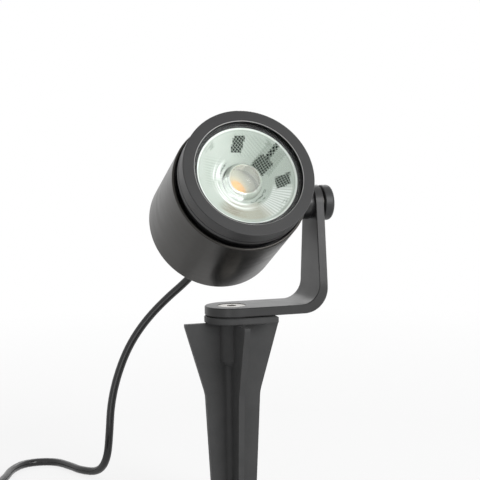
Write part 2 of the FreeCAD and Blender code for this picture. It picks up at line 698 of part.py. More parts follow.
def board_pillars():
    """Four spacers between the web and the driver board, each with its screw end."""
    pillars = []
    for x, y in PILLARS:
        pillar = fused(rod(PILLAR_RADIUS, DRIVER_TOP, WEB_REAR, x, y),
                       rod(PILLAR_SCREW_RADIUS, DRIVER_LOW - 1.0, WEB_REAR + 3.5, x, y))
        cap = turned((0, -1.6), (PILLAR_RADIUS, -1.6, 0.5), (PILLAR_RADIUS, 0), (0, 0))
        cap.translate(V(x, y, DRIVER_LOW))
        pillars.append(fused(pillar, cap))
    return pillars


def driver_parts():
    """Choke, two capacitors, four chips and the terminal block, on the rear face."""
    low = DRIVER_LOW
    x, y, inner, outer, tall = CHOKE
    choke = turned((inner, low - tall, 1.2), (outer, low - tall, 1.2), (outer, low, 0.4),
                   (inner, low, 0.4))
    choke.translate(V(x, y, 0))
    parts = [choke]
    for x, y, radius, tall in CAPACITORS:
        can = turned((0, low - tall), (radius, low - tall, 0.8), (radius, low), (0, low))
        can.translate(V(x, y, 0))
        parts.append(can)
    for x0, x1, y0, y1, tall in BLOCKS:
        parts.append(box(x0, x1, y0, y1, low - tall, low))
    return parts


def wire_run(points):
    edges = run_and_arc_edges([V(*p) for p in points])[0]
    path = Part.Wire(edges)
    section = Part.Wire([Part.Circle(V(*points[0]), edges[0].tangentAt(0), WIRE_RADIUS).toShape()])
    return path.makePipeShell([section], True, False)


def led_wires():
    """Two wires up through the web's hole and over onto the board's pads."""
    hole_y, pad_y, over = WIRE_HOLE[1], -12.5, LED_BOARD_TOP + 4.0
    return [wire_run([(x, hole_y, DRIVER_TOP), (x, hole_y, over), (x, pad_y, over),
                      (x, pad_y, LED_BOARD_TOP)]) for x in (-2.0, 2.0)]


def lead_cores():
    """Two cores from the sheath's end to the terminal block on the driver board."""
    block_low = DRIVER_LOW - BLOCKS[-1][-1]
    return [wire_run([(side * 1.1, 0, SHEATH_END), (side * 1.1, 0, SHEATH_END + 3.0),
                      (side * 2.6, 1.0, SHEATH_END + 6.0), (side * 2.6, 1.0, block_low)])
            for side in (-1, 1)]


# ---- rear cover and gland ----
def rear_cover():
    low = HOUSING_REAR + COVER_SINK
    high = low + COVER_THICK
    groove = COVER_RADIUS - COVER_GROOVE_DEPTH
    disc = turned((0, low), (COVER_RADIUS, low, 0.5), (COVER_RADIUS, low + 1.0),
                  (groove, low + 1.0), (groove, high - 0.9),
                  (COVER_RADIUS, high - 0.9), (COVER_RADIUS, high), (0, high))
    cuts = [rod(GLAND_STEM_RADIUS, low - 1, high + 1)]
    for x, y in around(COVER_SCREW_CIRCLE, COVER_SCREW_ANGLES):
        cuts += [rod(1.7, low - 1, high + 1, x, y), rod(3.0, low - 1, low + 1.8, x, y)]
    return disc.cut(cuts)


def rear_oring():
    low = HOUSING_REAR + COVER_SINK
    high = low + COVER_THICK
    return ring(COVER_RADIUS + 0.08, COVER_RADIUS - COVER_GROOVE_DEPTH, low + 1.05, high - 0.95)


def cover_screws():
    return [small_screw(x, y, HOUSING_REAR + 2.1, 7.5, -1)
            for x, y in around(COVER_SCREW_CIRCLE, COVER_SCREW_ANGLES)]


def gland_body():
    face = HOUSING_REAR + COVER_SINK
    under = face - GLAND_FLANGE_THICK
    bore = LEAD_RADIUS + SEAL_THICK + 0.05
    stem = turned((bore, GLAND_INNER_END), (bore, GLAND_THREAD_END),
                  (GLAND_THREAD_RADIUS, GLAND_THREAD_END), (GLAND_THREAD_RADIUS, under),
                  (GLAND_STEM_RADIUS, under), (GLAND_STEM_RADIUS, GLAND_INNER_END))
    flange = hexagon(GLAND_FLATS, under, face, 30).common(
        turned((0, face), (0, under), (8.4, under), (9.2, under + 0.8), (9.2, face)))
    flange = flange.cut(rod(5.0, under - 1, face + 1))
    return fused(stem, flange)


def gland_nut():
    """Domed nut with six short flats, bored for the lead."""
    seat = HOUSING_REAR + COVER_SINK - GLAND_FLANGE_THICK - 0.2
    thread = GLAND_THREAD_RADIUS + 0.1
    throat = LEAD_RADIUS + SEAL_LIP_THICK + 0.05
    throat_start = GLAND_THREAD_END - 1.0
    body = turned((thread, seat), (GLAND_NUT_RADIUS, seat, 0.4), (GLAND_NUT_RADIUS, seat - 6.0, 1.0),
                  (5.4, GLAND_END, 1.6), (throat, GLAND_END), (throat, throat_start),
                  (thread, throat_start))
    low, high = seat - 5.0, seat - 0.6
    flats = hexagon(GLAND_NUT_FLATS, low, high, 30)
    return body.cut(ring(9.0, 0.01, low, high).cut(flats))


def gland_seal():
    """Rubber sleeve squeezed between lead and gland, standing a little out of the nut."""
    sleeve, lip = LEAD_RADIUS + SEAL_THICK, LEAD_RADIUS + SEAL_LIP_THICK
    return turned((LEAD_RADIUS, -24.0), (sleeve, -24.0), (sleeve, GLAND_THREAD_END + 0.4),
                  (lip, GLAND_THREAD_END - 0.9), (lip, SEAL_END), (LEAD_RADIUS, SEAL_END))


def lead_entry():
    return rod(LEAD_RADIUS, SEAL_END, SHEATH_END)


# ---- the free lead ----
EXIT = head_point(0, 0, SEAL_END)
DROP_ROUTE = [
    EXIT,
    head_point(0, 0, GLAND_END - 18.0),
    V(-3.0, 64.0, 131.5),
    V(-7.5, 69.0, 120.0),
    V(-18.5, 75.0, 110.0),
    V(-29.5, 79.5, 97.5),
    V(-39.5, 82.0, 82.5),
    V(-46.5, 82.5, 65.0),
    V(-51.0, 82.0, 47.5),
    V(-52.5, 81.0, 30.0),
    V(-54.0, 82.0, 13.5),
    V(-57.5, 91.5, 3.6),
]
LYING_ROUTE = [
    V(-66.0, 104.5, LEAD_RADIUS),
    V(-69.5, 116.0, LEAD_RADIUS),
    V(-77.0, 132.5, LEAD_RADIUS),
    V(-95.0, 135.0, LEAD_RADIUS),
    V(-106.5, 121.5, LEAD_RADIUS),
    V(-112.5, 104.5, LEAD_RADIUS),
    V(-121.0, 88.5, LEAD_RADIUS),
    V(-130.5, 73.0, LEAD_RADIUS),
    V(-141.0, 57.5, LEAD_RADIUS + 0.4),
]


def coil_point(turns):
    """Centre line of the coil: in along the floor, up a layer, and out again.

    The radius shrinks by one pitch a turn up to COIL_TURNS_IN and then grows
    at the same rate. The height rises by one layer in the half turn about it.
    """
    radius = COIL_OUTER_RADIUS - COIL_PITCH * (COIL_TURNS_IN - abs(turns - COIL_TURNS_IN))
    climb = min(max((turns - COIL_TURNS_IN + 0.25) / 0.5, 0.0), 1.0)
    height = LEAD_RADIUS + COIL_FLOOR_GAP + COIL_PITCH * climb * climb * (3 - 2 * climb)
    angle = math.pi + 2 * math.pi * turns
    return V(COIL_CENTRE[0] + radius * math.cos(angle),
             COIL_CENTRE[1] + radius * math.sin(angle), height)


def coil_way(turns):
    """Direction of the lead in the coil; at its end it dips towards the plug."""
    step = 0.001
    way = (coil_point(turns + step) - coil_point(turns - step)).normalize()
    if turns == COIL_TURNS:
        way.z = -math.tan(math.radians(PLUG_DIP))
        way.normalize()
    return way


def lead_paths():
    """Edges of the hanging and the lying stretch, parted in the run where they meet.

    The radii of all the arcs come with them.
    """
    start = coil_point(0)
    approach = start - coil_way(0) * COIL_APPROACH
    edges, radii = run_and_arc_edges(DROP_ROUTE + LYING_ROUTE + [approach, start])
    bridge = 2 * (len(DROP_ROUTE) - 1)
    ends = [v.Point for v in edges[bridge].Vertexes]
    middle = (ends[0] + ends[1]) / 2
    drop = edges[:bridge] + [Part.LineSegment(ends[0], middle).toShape()]
    lying = [Part.LineSegment(middle, ends[1]).toShape()] + edges[bridge + 1:]
    return drop, lying, radii


def lead_drop():
    edges, _, radii = lead_paths()
    print("lead: arc radii %s mm" % " ".join("%.1f" % r for r in radii))
    return tube(edges, LEAD_RADIUS, "lead_drop")


def lead_lying():
    return tube(lead_paths()[1], LEAD_RADIUS, "lead_lying")


def coil_edges():
    edges = []
    quarters = int(round(COIL_TURNS * 4))
    for quarter in range(quarters):
        first, last = quarter / 4, (quarter + 1) / 4
        edges += biarc(coil_point(first), coil_way(first), coil_point(last), coil_way(last))
    return edges


def least_gap(edges):
    """Least gap of a tube to itself, measured between points along its centre line."""
    points = []
    run = 0.0
    for edge in edges:
        for i in range(6):
            step = (edge.LastParameter - edge.FirstParameter) * i / 6
            points.append((run + edge.Length * i / 6, edge.valueAt(edge.FirstParameter + step)))
        run += edge.Length
    least = min((a - b).Length for i, (sa, a) in enumerate(points)
                for sb, b in points[i + 1:] if sb - sa > 4 * LEAD_DIAMETER)
    return least - LEAD_DIAMETER


def lead_coil():
    edges = coil_edges()
    print("lead_coil: least gap to itself %.2f mm" % least_gap(edges))
    return tube(edges, LEAD_RADIUS, "lead_coil")


def in_plug(shape):
    """Turn a shape made along +Z from the lead's last point along the coil's end."""
    end = coil_point(COIL_TURNS)
    way = coil_way(COIL_TURNS)
    shape.rotate(ORIGIN, Y_AXIS, 90 + PLUG_DIP)
    shape.rotate(ORIGIN, Z_AXIS, math.degrees(math.atan2(way.y, way.x)))
    shape.translate(end)
    return shape


def lead_tail():
    return in_plug(rod(LEAD_RADIUS, 0, TAIL_LENGTH))


def plug_body():
    low = TAIL_LENGTH
    shoulder = low + BOOT_LENGTH
    end = shoulder + PLUG_LENGTH
    nose = end - NOSE_LENGTH
    groove_low, groove_high = nose + 2.4, nose + 4.6
    body = turned((0, low), (LEAD_RADIUS + 0.8, low, 0.3), (LEAD_RADIUS + 1.8, shoulder - 2.0, 2.0),
                  (PLUG_RADIUS, shoulder, 0.8), (PLUG_RADIUS, nose, 0.5), (NOSE_RADIUS, nose),
                  (NOSE_RADIUS, groove_low), (SEAL_GROOVE_RADIUS, groove_low),
                  (SEAL_GROOVE_RADIUS, groove_high), (NOSE_RADIUS, groove_high),
                  (NOSE_RADIUS, end, 0.4), (0, end))
    ribs = [ring(PLUG_RADIUS + 1, PLUG_RADIUS - 0.5, shoulder + 3.0 + RIB_PITCH * i,
                 shoulder + 4.2 + RIB_PITCH * i) for i in range(PLUG_RIBS)]
    pins = [rod(PIN_ROOT_RADIUS, end - PIN_ROOT_LENGTH, end + 1, 0, side * PIN_SPACING / 2)
            for side in (-1, 1)]
    return in_plug(body.cut(ribs + pins))


def plug_seal():
    nose = TAIL_LENGTH + BOOT_LENGTH + PLUG_LENGTH - NOSE_LENGTH
    return in_plug(Part.makeTorus(SEAL_GROOVE_RADIUS + 1.05, 1.0, V(0, 0, nose + 3.5), Z_AXIS))


def plug_pins():
    end = TAIL_LENGTH + BOOT_LENGTH + PLUG_LENGTH
    root = end - PIN_ROOT_LENGTH
    tip = end + PIN_LENGTH
    pins = []
    for side in (-1, 1):
        pin = turned((0, root), (PIN_ROOT_RADIUS, root), (PIN_ROOT_RADIUS, end),
                     (PIN_RADIUS, end), (PIN_RADIUS, tip, 0.6), (0, tip))
        pin.translate(V(0, side * PIN_SPACING / 2, 0))
        pins.append(in_plug(pin))
    return pins


def coil_tie():
    """Flat tie closed round the coil's section, clear of the lead's two ends."""
    inner = COIL_OUTER_RADIUS - COIL_PITCH * COIL_TURNS_IN - LEAD_RADIUS - 0.5
    outer = COIL_OUTER_RADIUS + LEAD_RADIUS + 0.5
    low = COIL_FLOOR_GAP - 0.2
    high = COIL_FLOOR_GAP + 2 * LEAD_RADIUS + COIL_PITCH + 0.3

    def section(spread, rounding):
        return outline([(inner - spread, low - spread, rounding),
                        (outer + spread, low - spread, rounding),
                        (outer + spread, high + spread, rounding),
                        (inner - spread, high + spread, rounding)], in_xz)

    band = section(TIE_THICK, 2.0).cut(section(0.0, 1.4)).extrude(V(0, TIE_WIDTH, 0))
    band.translate(V(0, -TIE_WIDTH / 2, 0))
    band.rotate(ORIGIN, Z_AXIS, TIE_ANGLE)
    band.translate(V(COIL_CENTRE[0], COIL_CENTRE[1], 0))
    return band


# ---- write the pieces ----
HEAD_PIECES = [housing, bezel, bezel_oring, glass_gasket, front_glass, lens, lens_holder,
               led_board, led_base, led_emitter, led_screws, thermal_pad, led_wires,
               driver_board, driver_parts, board_pillars, rear_cover, rear_oring,
               cover_screws, gland_body, gland_seal, gland_nut, lead_entry, lead_cores]
PLACED_PIECES = [spike, spike_insert, pan_washer, foot_screw, bracket, pivot_boss, pivot_nut,
                 pivot_washer, knob_washer, tilt_knob, knob_stud, lead_drop, lead_lying,
                 lead_coil, lead_tail, coil_tie, plug_body, plug_seal, plug_pins]


def as_shape(made):
    return Part.makeCompound(made) if isinstance(made, list) else made


def main():
    os.makedirs("parts", exist_ok=True)
    for make in HEAD_PIECES + PLACED_PIECES:
        shape = as_shape(make())
        if make in HEAD_PIECES and make is not housing:
            shape = in_head(shape)
        if not shape.isValid():
            print("not valid:", make.__name__)
        shape.exportStep("parts/%s.step" % make.__name__)


main()
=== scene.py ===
"""Garden spike spotlight: the finishes, the optic, the lead and the light it is seen in."""

import math

import bpy
import numpy as np
from mathutils import Matrix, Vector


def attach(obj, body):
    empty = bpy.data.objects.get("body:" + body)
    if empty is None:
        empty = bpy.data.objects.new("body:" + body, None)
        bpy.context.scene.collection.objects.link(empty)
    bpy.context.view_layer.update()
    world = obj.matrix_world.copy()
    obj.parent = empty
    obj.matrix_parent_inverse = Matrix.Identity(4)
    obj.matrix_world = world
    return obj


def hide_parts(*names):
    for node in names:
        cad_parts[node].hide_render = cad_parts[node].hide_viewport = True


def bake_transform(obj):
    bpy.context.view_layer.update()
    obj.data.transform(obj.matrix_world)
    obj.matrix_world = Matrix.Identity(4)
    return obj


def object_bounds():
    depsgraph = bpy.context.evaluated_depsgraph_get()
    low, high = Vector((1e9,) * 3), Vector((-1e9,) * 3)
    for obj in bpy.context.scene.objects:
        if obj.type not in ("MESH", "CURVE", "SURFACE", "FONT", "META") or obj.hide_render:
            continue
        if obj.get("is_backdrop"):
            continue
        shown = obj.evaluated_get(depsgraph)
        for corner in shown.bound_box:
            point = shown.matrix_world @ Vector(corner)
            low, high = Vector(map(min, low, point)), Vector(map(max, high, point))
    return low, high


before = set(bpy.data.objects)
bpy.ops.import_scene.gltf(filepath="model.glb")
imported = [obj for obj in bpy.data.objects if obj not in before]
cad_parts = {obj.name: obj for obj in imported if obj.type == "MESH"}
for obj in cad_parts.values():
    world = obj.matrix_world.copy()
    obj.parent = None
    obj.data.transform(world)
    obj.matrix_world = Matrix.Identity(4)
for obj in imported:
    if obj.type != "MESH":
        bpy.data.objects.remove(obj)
cad_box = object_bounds()
MM = 0.001

# ---- Camera ----------------------------------------------------------------
# The lamp is seen from its left and a little above, about 0.75 m away, with a
# long lens.
CAMERA_PLACE = np.array((-232.25, -703.93, 221.37)) * MM
CAMERA_SWING = math.radians(18.666)     # turned from +Y towards +X
CAMERA_DROP = math.radians(5.317)       # looking down
CAMERA_ROLL = math.radians(-0.763)
FOCAL_PIXELS = 1340.8
IMAGE_PIXELS = 480
SENSOR_MM = 36.0


def camera_axes(swing, drop, roll):
    """Right, up and back of a camera: level right, tilted up, both turned by the roll."""
    level = np.array((math.sin(swing), math.cos(swing), 0.0))
    right = np.array((math.cos(swing), -math.sin(swing), 0.0))
    sky = np.array((0.0, 0.0, 1.0))
    ahead = math.cos(drop) * level - math.sin(drop) * sky
    up = math.sin(drop) * level + math.cos(drop) * sky
    turned_right = math.cos(roll) * right + math.sin(roll) * up
    turned_up = math.cos(roll) * up - math.sin(roll) * right
    return np.column_stack((turned_right, turned_up, -ahead))


def place(new_object, axes, point):
    """Stand an object at a point with the given right, up and back axes."""
    matrix = np.eye(4)
    matrix[:3, :3] = axes
    matrix[:3, 3] = point
    new_object.matrix_world = Matrix(matrix.tolist())
    bpy.context.scene.collection.objects.link(new_object)
    return new_object


camera_data = bpy.data.cameras.new("camera")
camera_data.sensor_width = SENSOR_MM
camera_data.lens = FOCAL_PIXELS / IMAGE_PIXELS * SENSOR_MM
camera_data.clip_start = 0.01
camera_data.clip_end = 50.0
camera = place(bpy.data.objects.new("camera", camera_data),
               camera_axes(CAMERA_SWING, CAMERA_DROP, CAMERA_ROLL), CAMERA_PLACE)
bpy.context.scene.camera = camera

# ---- Ground spike ----------------------------------------------------------
# One moulding in glass-filled nylon: four fins on a hollow-cornered core under
# a round plate. The tool's spark-eroded grain dulls it, and flow marks mottle it.


def shader_of(name, colour, roughness, metallic=0.0, ior=1.5, shine=0.5):
    """New material with plain values on its Principled shader."""
    material = bpy.data.materials.new(name)
    material.use_nodes = True
    shader = material.node_tree.nodes["Principled BSDF"]
    shader.inputs["Base Color"].default_value = (*colour, 1.0)
    shader.inputs["Roughness"].default_value = roughness
    shader.inputs["Metallic"].default_value = metallic
    shader.inputs["IOR"].default_value = ior
    shader.inputs["Specular IOR Level"].default_value = shine
    return material, shader


def add_node(material, kind, settings=None, **inputs):
    """Node of a kind, with its settings, and each input set to a value or linked to a socket.

    An input is named by its label, whose first socket is meant, or as i and its number.
    """
    tree = material.node_tree
    node = tree.nodes.new("ShaderNode" + kind)
    for name, value in (settings or {}).items():
        setattr(node, name, value)
    known = {socket.name.replace(" ", "_"): socket for socket in reversed(node.inputs)}
    for name, value in inputs.items():
        socket = node.inputs[int(name[1:])] if name[1:].isdigit() else known[name]
        if isinstance(value, bpy.types.NodeSocket):
            tree.links.new(value, socket)
        else:
            socket.default_value = value
    return node


def drive(material, socket, value):
    """Link a value to a socket of a material's shader."""
    material.node_tree.links.new(value, socket)


def sums(material, operation, first, second=0.0, third=0.0):
    """Result of one arithmetic step on sockets or numbers."""
    return add_node(material, "Math", {"operation": operation}, i0=first, i1=second,
                    i2=third).outputs[0]


def mixed(material, share, under, over):
    """Colour between two by a share; each is a socket, or its red, green and blue."""
    ends = [end if isinstance(end, bpy.types.NodeSocket) else (*end, 1.0) for end in (under, over)]
    return add_node(material, "Mix", {"data_type": "RGBA"}, i0=share, i6=ends[0],
                    i7=ends[1]).outputs[2]


def object_coordinates(material):
    """Place of a surface point on the object, in metres from its origin."""
    return add_node(material, "TexCoord").outputs["Object"]


def speckle(material, size, detail=2.0, where=None, stretch=(1.0, 1.0, 1.0)):
    """Noise whose features are about size metres across, longer where stretch is over 1."""
    where = where or object_coordinates(material)
    scale = tuple(1.0 / (size * s) for s in stretch)
    scaled = add_node(material, "Mapping", Vector=where, Scale=scale).outputs[0]
    return add_node(material, "TexNoise", Vector=scaled, Scale=1.0, Detail=detail).outputs["Fac"]


def spread_over(material, share, low, high, middle=0.5, width=0.25):
    """Noise share stretched about its middle onto the range from low to high."""
    return add_node(material, "MapRange", {"clamp": True}, Value=share,
                    From_Min=middle - width, From_Max=middle + width, To_Min=low,
                    To_Max=high).outputs[0]


def tint(material, shader, share, dark, light):
    """Base colour mixed from dark to light by a share."""
    drive(material, shader.inputs["Base Color"], mixed(material, share, dark, light))


def emboss(material, shader, height, depth):
    """Bump of the given depth in metres from a height between 0 and 1."""
    bump = add_node(material, "Bump", Height=height, Distance=depth, Strength=1.0)
    drive(material, shader.inputs["Normal"], bump.outputs[0])


def dress(material, *nodes):
    """Give a material to every slot of the named CAD nodes."""
    for name in nodes:
        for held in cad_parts[name].material_slots:
            held.material = material


def moulded_plastic(name, dark, light, roughness, grain, depth, mottle=12 * MM, shine=0.5):
    """Moulded plastic: fine eroded grain in the gloss and bump, slow flow marks in the colour."""
    material, shader = shader_of(name, light, roughness, shine=shine)
    flow = spread_over(material, speckle(material, mottle, 3.0), 0.0, 1.0)
    grains = speckle(material, grain, 3.0)
    share = sums(material, "MULTIPLY_ADD", grains, 0.5, sums(material, "MULTIPLY", flow, 0.5))
    tint(material, shader, share, dark, light)
    drive(material, shader.inputs["Roughness"],
          spread_over(material, grains, roughness - 0.08, roughness + 0.08))
    emboss(material, shader, grains, depth)
    return material


spike_plastic = moulded_plastic("spike_plastic", (0.050, 0.051, 0.052), (0.082, 0.082, 0.082),
                                0.5, 0.45 * MM, 0.05 * MM, shine=0.22)
dress(spike_plastic, "spike")

# ---- Foot screw, insert and washer -------------------------------------------
# A brass insert is moulded into the spike, and an M8 countersunk screw in bright
# turned stainless holds the bracket to it over a thin plastic washer.


def distance_from_axis(material, parts):
    """Root of the sum of squares of the two coordinates that lie square to an axis."""
    return sums(material, "SQRT", sums(material, "MULTIPLY_ADD", parts[0], parts[0],
                                       sums(material, "MULTIPLY", parts[1], parts[1])))


def turned_metal(name, colour, roughness, centre=(0.0, 0.0, 0.0), tilt=0.0):
    """Bare metal cut on a lathe: fine rings about an axis through centre, tilted about X."""
    material, shader = shader_of(name, colour, roughness, metallic=1.0)
    own = add_node(material, "Mapping", {"vector_type": "TEXTURE"},
                   Vector=object_coordinates(material), Location=centre,
                   Rotation=(tilt, 0.0, 0.0)).outputs[0]
    parts = add_node(material, "SeparateXYZ", Vector=own).outputs
    rings = add_node(material, "CombineXYZ", X=distance_from_axis(material, parts),
                     Y=parts[2]).outputs[0]
    lines = speckle(material, 0.12 * MM, 3.0, where=rings)
    smudge = speckle(material, 4 * MM, 3.0)
    drive(material, shader.inputs["Roughness"],
          spread_over(material, smudge, roughness - 0.06, roughness + 0.08))
    tint(material, shader, spread_over(material, lines, 0.0, 1.0),
         tuple(0.86 * c for c in colour), colour)
    emboss(material, shader, lines, 0.006 * MM)
    return material


stainless = turned_metal("stainless", (0.47, 0.45, 0.42), 0.24)
brass = turned_metal("brass", (0.78, 0.57, 0.25), 0.28)
washer_plastic = moulded_plastic("washer_plastic", (0.008, 0.008, 0.008), (0.016, 0.016, 0.016),
                                 0.45, 0.3 * MM, 0.02 * MM)
dress(stainless, "foot_screw")
dress(brass, "spike_insert")
dress(washer_plastic, "pan_washer")

# ---- Bracket ---------------------------------------------------------------
# 30 x 5 mm aluminium bar, bent once, with a round foot and a tapered leg. Its baked
# dark grey coat is a little uneven in gloss, and some dust lies on it.


def coated_metal(name, dark, light, roughness, shine=0.35):
    """Baked coat on metal: very fine orange peel, slow changes of gloss and a little dust."""
    material, shader = shader_of(name, light, roughness, shine=shine)
    peel = speckle(material, 0.6 * MM, 2.0)
    cloud = speckle(material, 18 * MM, 4.0)
    fine = speckle(material, 0.25 * MM, 2.0)
    share = sums(material, "MULTIPLY_ADD", fine, 0.6, sums(material, "MULTIPLY", cloud, 0.5))
    tint(material, shader, spread_over(material, share, 0.0, 1.0, 0.55, 0.3), dark, light)
    drive(material, shader.inputs["Roughness"],
          spread_over(material, cloud, roughness - 0.05, roughness + 0.07))
    emboss(material, shader, peel, 0.012 * MM)
    return material


bracket_coat = coated_metal("bracket_coat", (0.036, 0.036, 0.037), (0.052, 0.052, 0.052), 0.32, 0.3)
dress(bracket_coat, "bracket")

# ---- Pivot and knob ----------------------------------------------------------
# A turned spacer carries the head on the leg. The moulded knob's steel stud draws
# the leg against it, over rubber on the inside and a steel washer on the outside.


def rubber(name, colour, roughness):
    """Moulded rubber: dull, with faint bloom in slow clouds."""
    material, shader = shader_of(name, colour, roughness)
    bloom = speckle(material, 6 * MM, 4.0)
    tint(material, shader, spread_over(material, bloom, 0.0, 1.0), colour,
         tuple(1.7 * c for c in colour))
    drive(material, shader.inputs["Roughness"],
          spread_over(material, bloom, roughness - 0.06, roughness + 0.1))
    emboss(material, shader, speckle(material, 0.3 * MM, 2.0), 0.008 * MM)
    return material


knob_plastic = moulded_plastic("knob_plastic", (0.028, 0.029, 0.030), (0.044, 0.045, 0.046),
                               0.42, 0.35 * MM, 0.02 * MM, shine=0.35)
sealing_rubber = rubber("sealing_rubber", (0.010, 0.010, 0.011), 0.5)
spacer_coat = coated_metal("spacer_coat", (0.012, 0.012, 0.012), (0.020, 0.020, 0.020), 0.3, 0.5)
dress(spacer_coat, "pivot_boss")
dress(knob_plastic, "tilt_knob")
dress(sealing_rubber, "pivot_washer")
dress(stainless, "pivot_nut", "knob_washer", "knob_stud")

# ---- Housing -----------------------------------------------------------------
# The barrel is turned from aluminium bar with its inner web in one piece, then
# anodised black. The lathe's fine rings and a few scratches stay in the surface.
PIVOT = np.array((-2.0, 0.0, 171.5)) * MM
HEAD_LIFT = math.radians(27.0)
HEAD_TILT = math.radians(90.0) - HEAD_LIFT
HEAD_AXIS = np.array((0.0, -math.cos(HEAD_LIFT), math.sin(HEAD_LIFT)))
HEAD_UP = np.array((0.0, math.sin(HEAD_LIFT), math.cos(HEAD_LIFT)))


def head_coordinates(material):
    """Object coordinates seen from the head: across, up and along its axis from the pivot."""
    return add_node(material, "Mapping", {"vector_type": "TEXTURE"},
                    Vector=object_coordinates(material), Location=tuple(PIVOT),
                    Rotation=(HEAD_TILT, 0.0, 0.0)).outputs[0]


def anodised(name, dark, light, roughness):
    """Black anodising over turned rings: rings about the head's axis in gloss, tone and bump."""
    material, shader = shader_of(name, light, roughness, metallic=0.85)
    own = head_coordinates(material)
    rings = speckle(material, 0.14 * MM, 2.0, where=own, stretch=(150.0, 150.0, 1.0))
    broad = speckle(material, 5.0 * MM, 3.0, where=own, stretch=(4.0, 4.0, 1.0))
    scratch = speckle(material, 0.5 * MM, 0.0, where=own, stretch=(14.0, 14.0, 0.7))
    marks = spread_over(material, scratch, 0.0, 1.0, 0.78, 0.03)
    share = sums(material, "MULTIPLY_ADD", rings, 0.6, sums(material, "MULTIPLY", broad, 0.4))
    tint(material, shader, spread_over(material, share, 0.0, 1.0), dark, light)
    drive(material, shader.inputs["Roughness"],
          spread_over(material, broad, roughness - 0.04, roughness + 0.05))
    height = sums(material, "MULTIPLY_ADD", marks, -0.6, rings)
    emboss(material, shader, height, 0.001 * MM)
    return material


housing_anodising = anodised("housing_anodising", (0.033, 0.031, 0.029), (0.045, 0.043, 0.039), 0.31)
dress(housing_anodising, "housing")

# ---- Driver ------------------------------------------------------------------
# A green board on four pillars behind the web, with its choke, capacitors, chips
# and terminal block. The cover closes over it.


def circuit_board(name, mask, copper, pitch):
    """Solder mask with faint straight tracks beneath it."""
    material, shader = shader_of(name, mask, 0.32)
    own = head_coordinates(material)
    tracks = add_node(material, "TexBrick", {"offset": 0.5, "squash": 1.0}, Vector=own,
                      Scale=1.0 / pitch, Mortar_Size=0.03, Brick_Width=3.0,
                      Row_Height=0.7).outputs["Fac"]
    tint(material, shader, tracks, mask, copper)
    emboss(material, shader, tracks, 0.03 * MM)
    return material


board_green = circuit_board("board_green", (0.02, 0.11, 0.045), (0.05, 0.2, 0.08), 4 * MM)
board_white = circuit_board("board_white", (0.78, 0.78, 0.75), (0.66, 0.67, 0.63), 5 * MM)
component_dark = moulded_plastic("component_dark", (0.012, 0.012, 0.014), (0.03, 0.03, 0.032),
                                 0.35, 0.3 * MM, 0.01 * MM, mottle=4 * MM)
machined = turned_metal("machined_aluminium", (0.78, 0.79, 0.80), 0.3, tuple(PIVOT), HEAD_TILT)
core_insulation = moulded_plastic("core_insulation", (0.30, 0.02, 0.015), (0.5, 0.04, 0.03), 0.35,
                                  0.3 * MM, 0.005 * MM, mottle=5 * MM)
dress(board_green, "driver_board")
dress(component_dark, "driver_parts")
dress(machined, "board_pillars")
dress(core_insulation, "led_wires", "lead_cores")

# ---- Light source --------------------------------------------------------------
# A warm white chip under yellow phosphor silicone on its ceramic base, soldered to
# a white aluminium board that two screws press onto a grey pad.
led_ceramic = moulded_plastic("led_ceramic", (0.80, 0.80, 0.77), (0.90, 0.90, 0.87), 0.3,
                              0.2 * MM, 0.004 * MM)
phosphor, phosphor_shader = shader_of("phosphor", (0.95, 0.52, 0.16), 0.35)
tint(phosphor, phosphor_shader, spread_over(phosphor, speckle(phosphor, 1.2 * MM, 4.0), 0.0, 1.0),
     (0.90, 0.42, 0.10), (0.98, 0.60, 0.24))
emboss(phosphor, phosphor_shader, speckle(phosphor, 0.3 * MM, 2.0), 0.01 * MM)
pad_grey = rubber("pad_grey", (0.20, 0.21, 0.23), 0.6)
dress(board_white, "led_board")
dress(led_ceramic, "led_base")
dress(phosphor, "led_emitter")
dress(stainless, "led_screws")
dress(pad_grey, "thermal_pad")

# ---- Lens ----------------------------------------------------------------------
# A collimator in clear moulded acrylic. Its mirroring sides show through the front
# as a pale bowl of 1 mm pillows, with painted reflections of the dark holder in small
# hatched patches. A domed core in the middle shows a painted image of the light source
# behind it.
LENS_RADIUS = 27.7 * MM
LENS_FRONT = 40.7 * MM
LENS_FLANGE_LOW = LENS_FRONT - 2.8 * MM
LENS_SIDE_RADIUS = 25.6 * MM        # of the curved side, under the flange
LENS_FOOT_RADIUS = 9.4 * MM
LENS_BACK = 19.6 * MM
RIM_BEVEL = 0.2 * MM
BOWL_RADIUS = 27.1 * MM
BOWL_TOP = LENS_FRONT - 0.5 * MM
BOWL_INNER = 10.8 * MM              # radius at which the bowl begins
BOWL_LOW = 31.4 * MM
PILLOW_PITCH = 1.0 * MM
PILLOW_RISE = 0.05 * MM
PILLOW_FADE = 1.0 * MM
SHOULDER_RADIUS = BOWL_INNER - 0.3 * MM
CORE_RADIUS = 8.3 * MM
CORE_TOP = 35.4 * MM
CORE_LIP = 0.6 * MM
CORE_BEVEL = 0.4 * MM
SOURCE_IMAGE = 26.5 * MM            # floor of the core, where the light source seems to be
CORE_FLOOR_THICK = 0.6 * MM
POCKET_RADIUS = CORE_RADIUS - 1.0 * MM      # of the hollow behind the core's floor
AXIS_GAP = 0.02 * MM                # radius of the end rings, which fans close
LENS_AROUND = 720


def head_to_lamp(points):
    """Places on the lamp of head points given across, up and along its axis from the pivot."""
    across = np.array((1.0, 0.0, 0.0))
    return PIVOT + points @ np.stack((across, HEAD_UP, HEAD_AXIS))


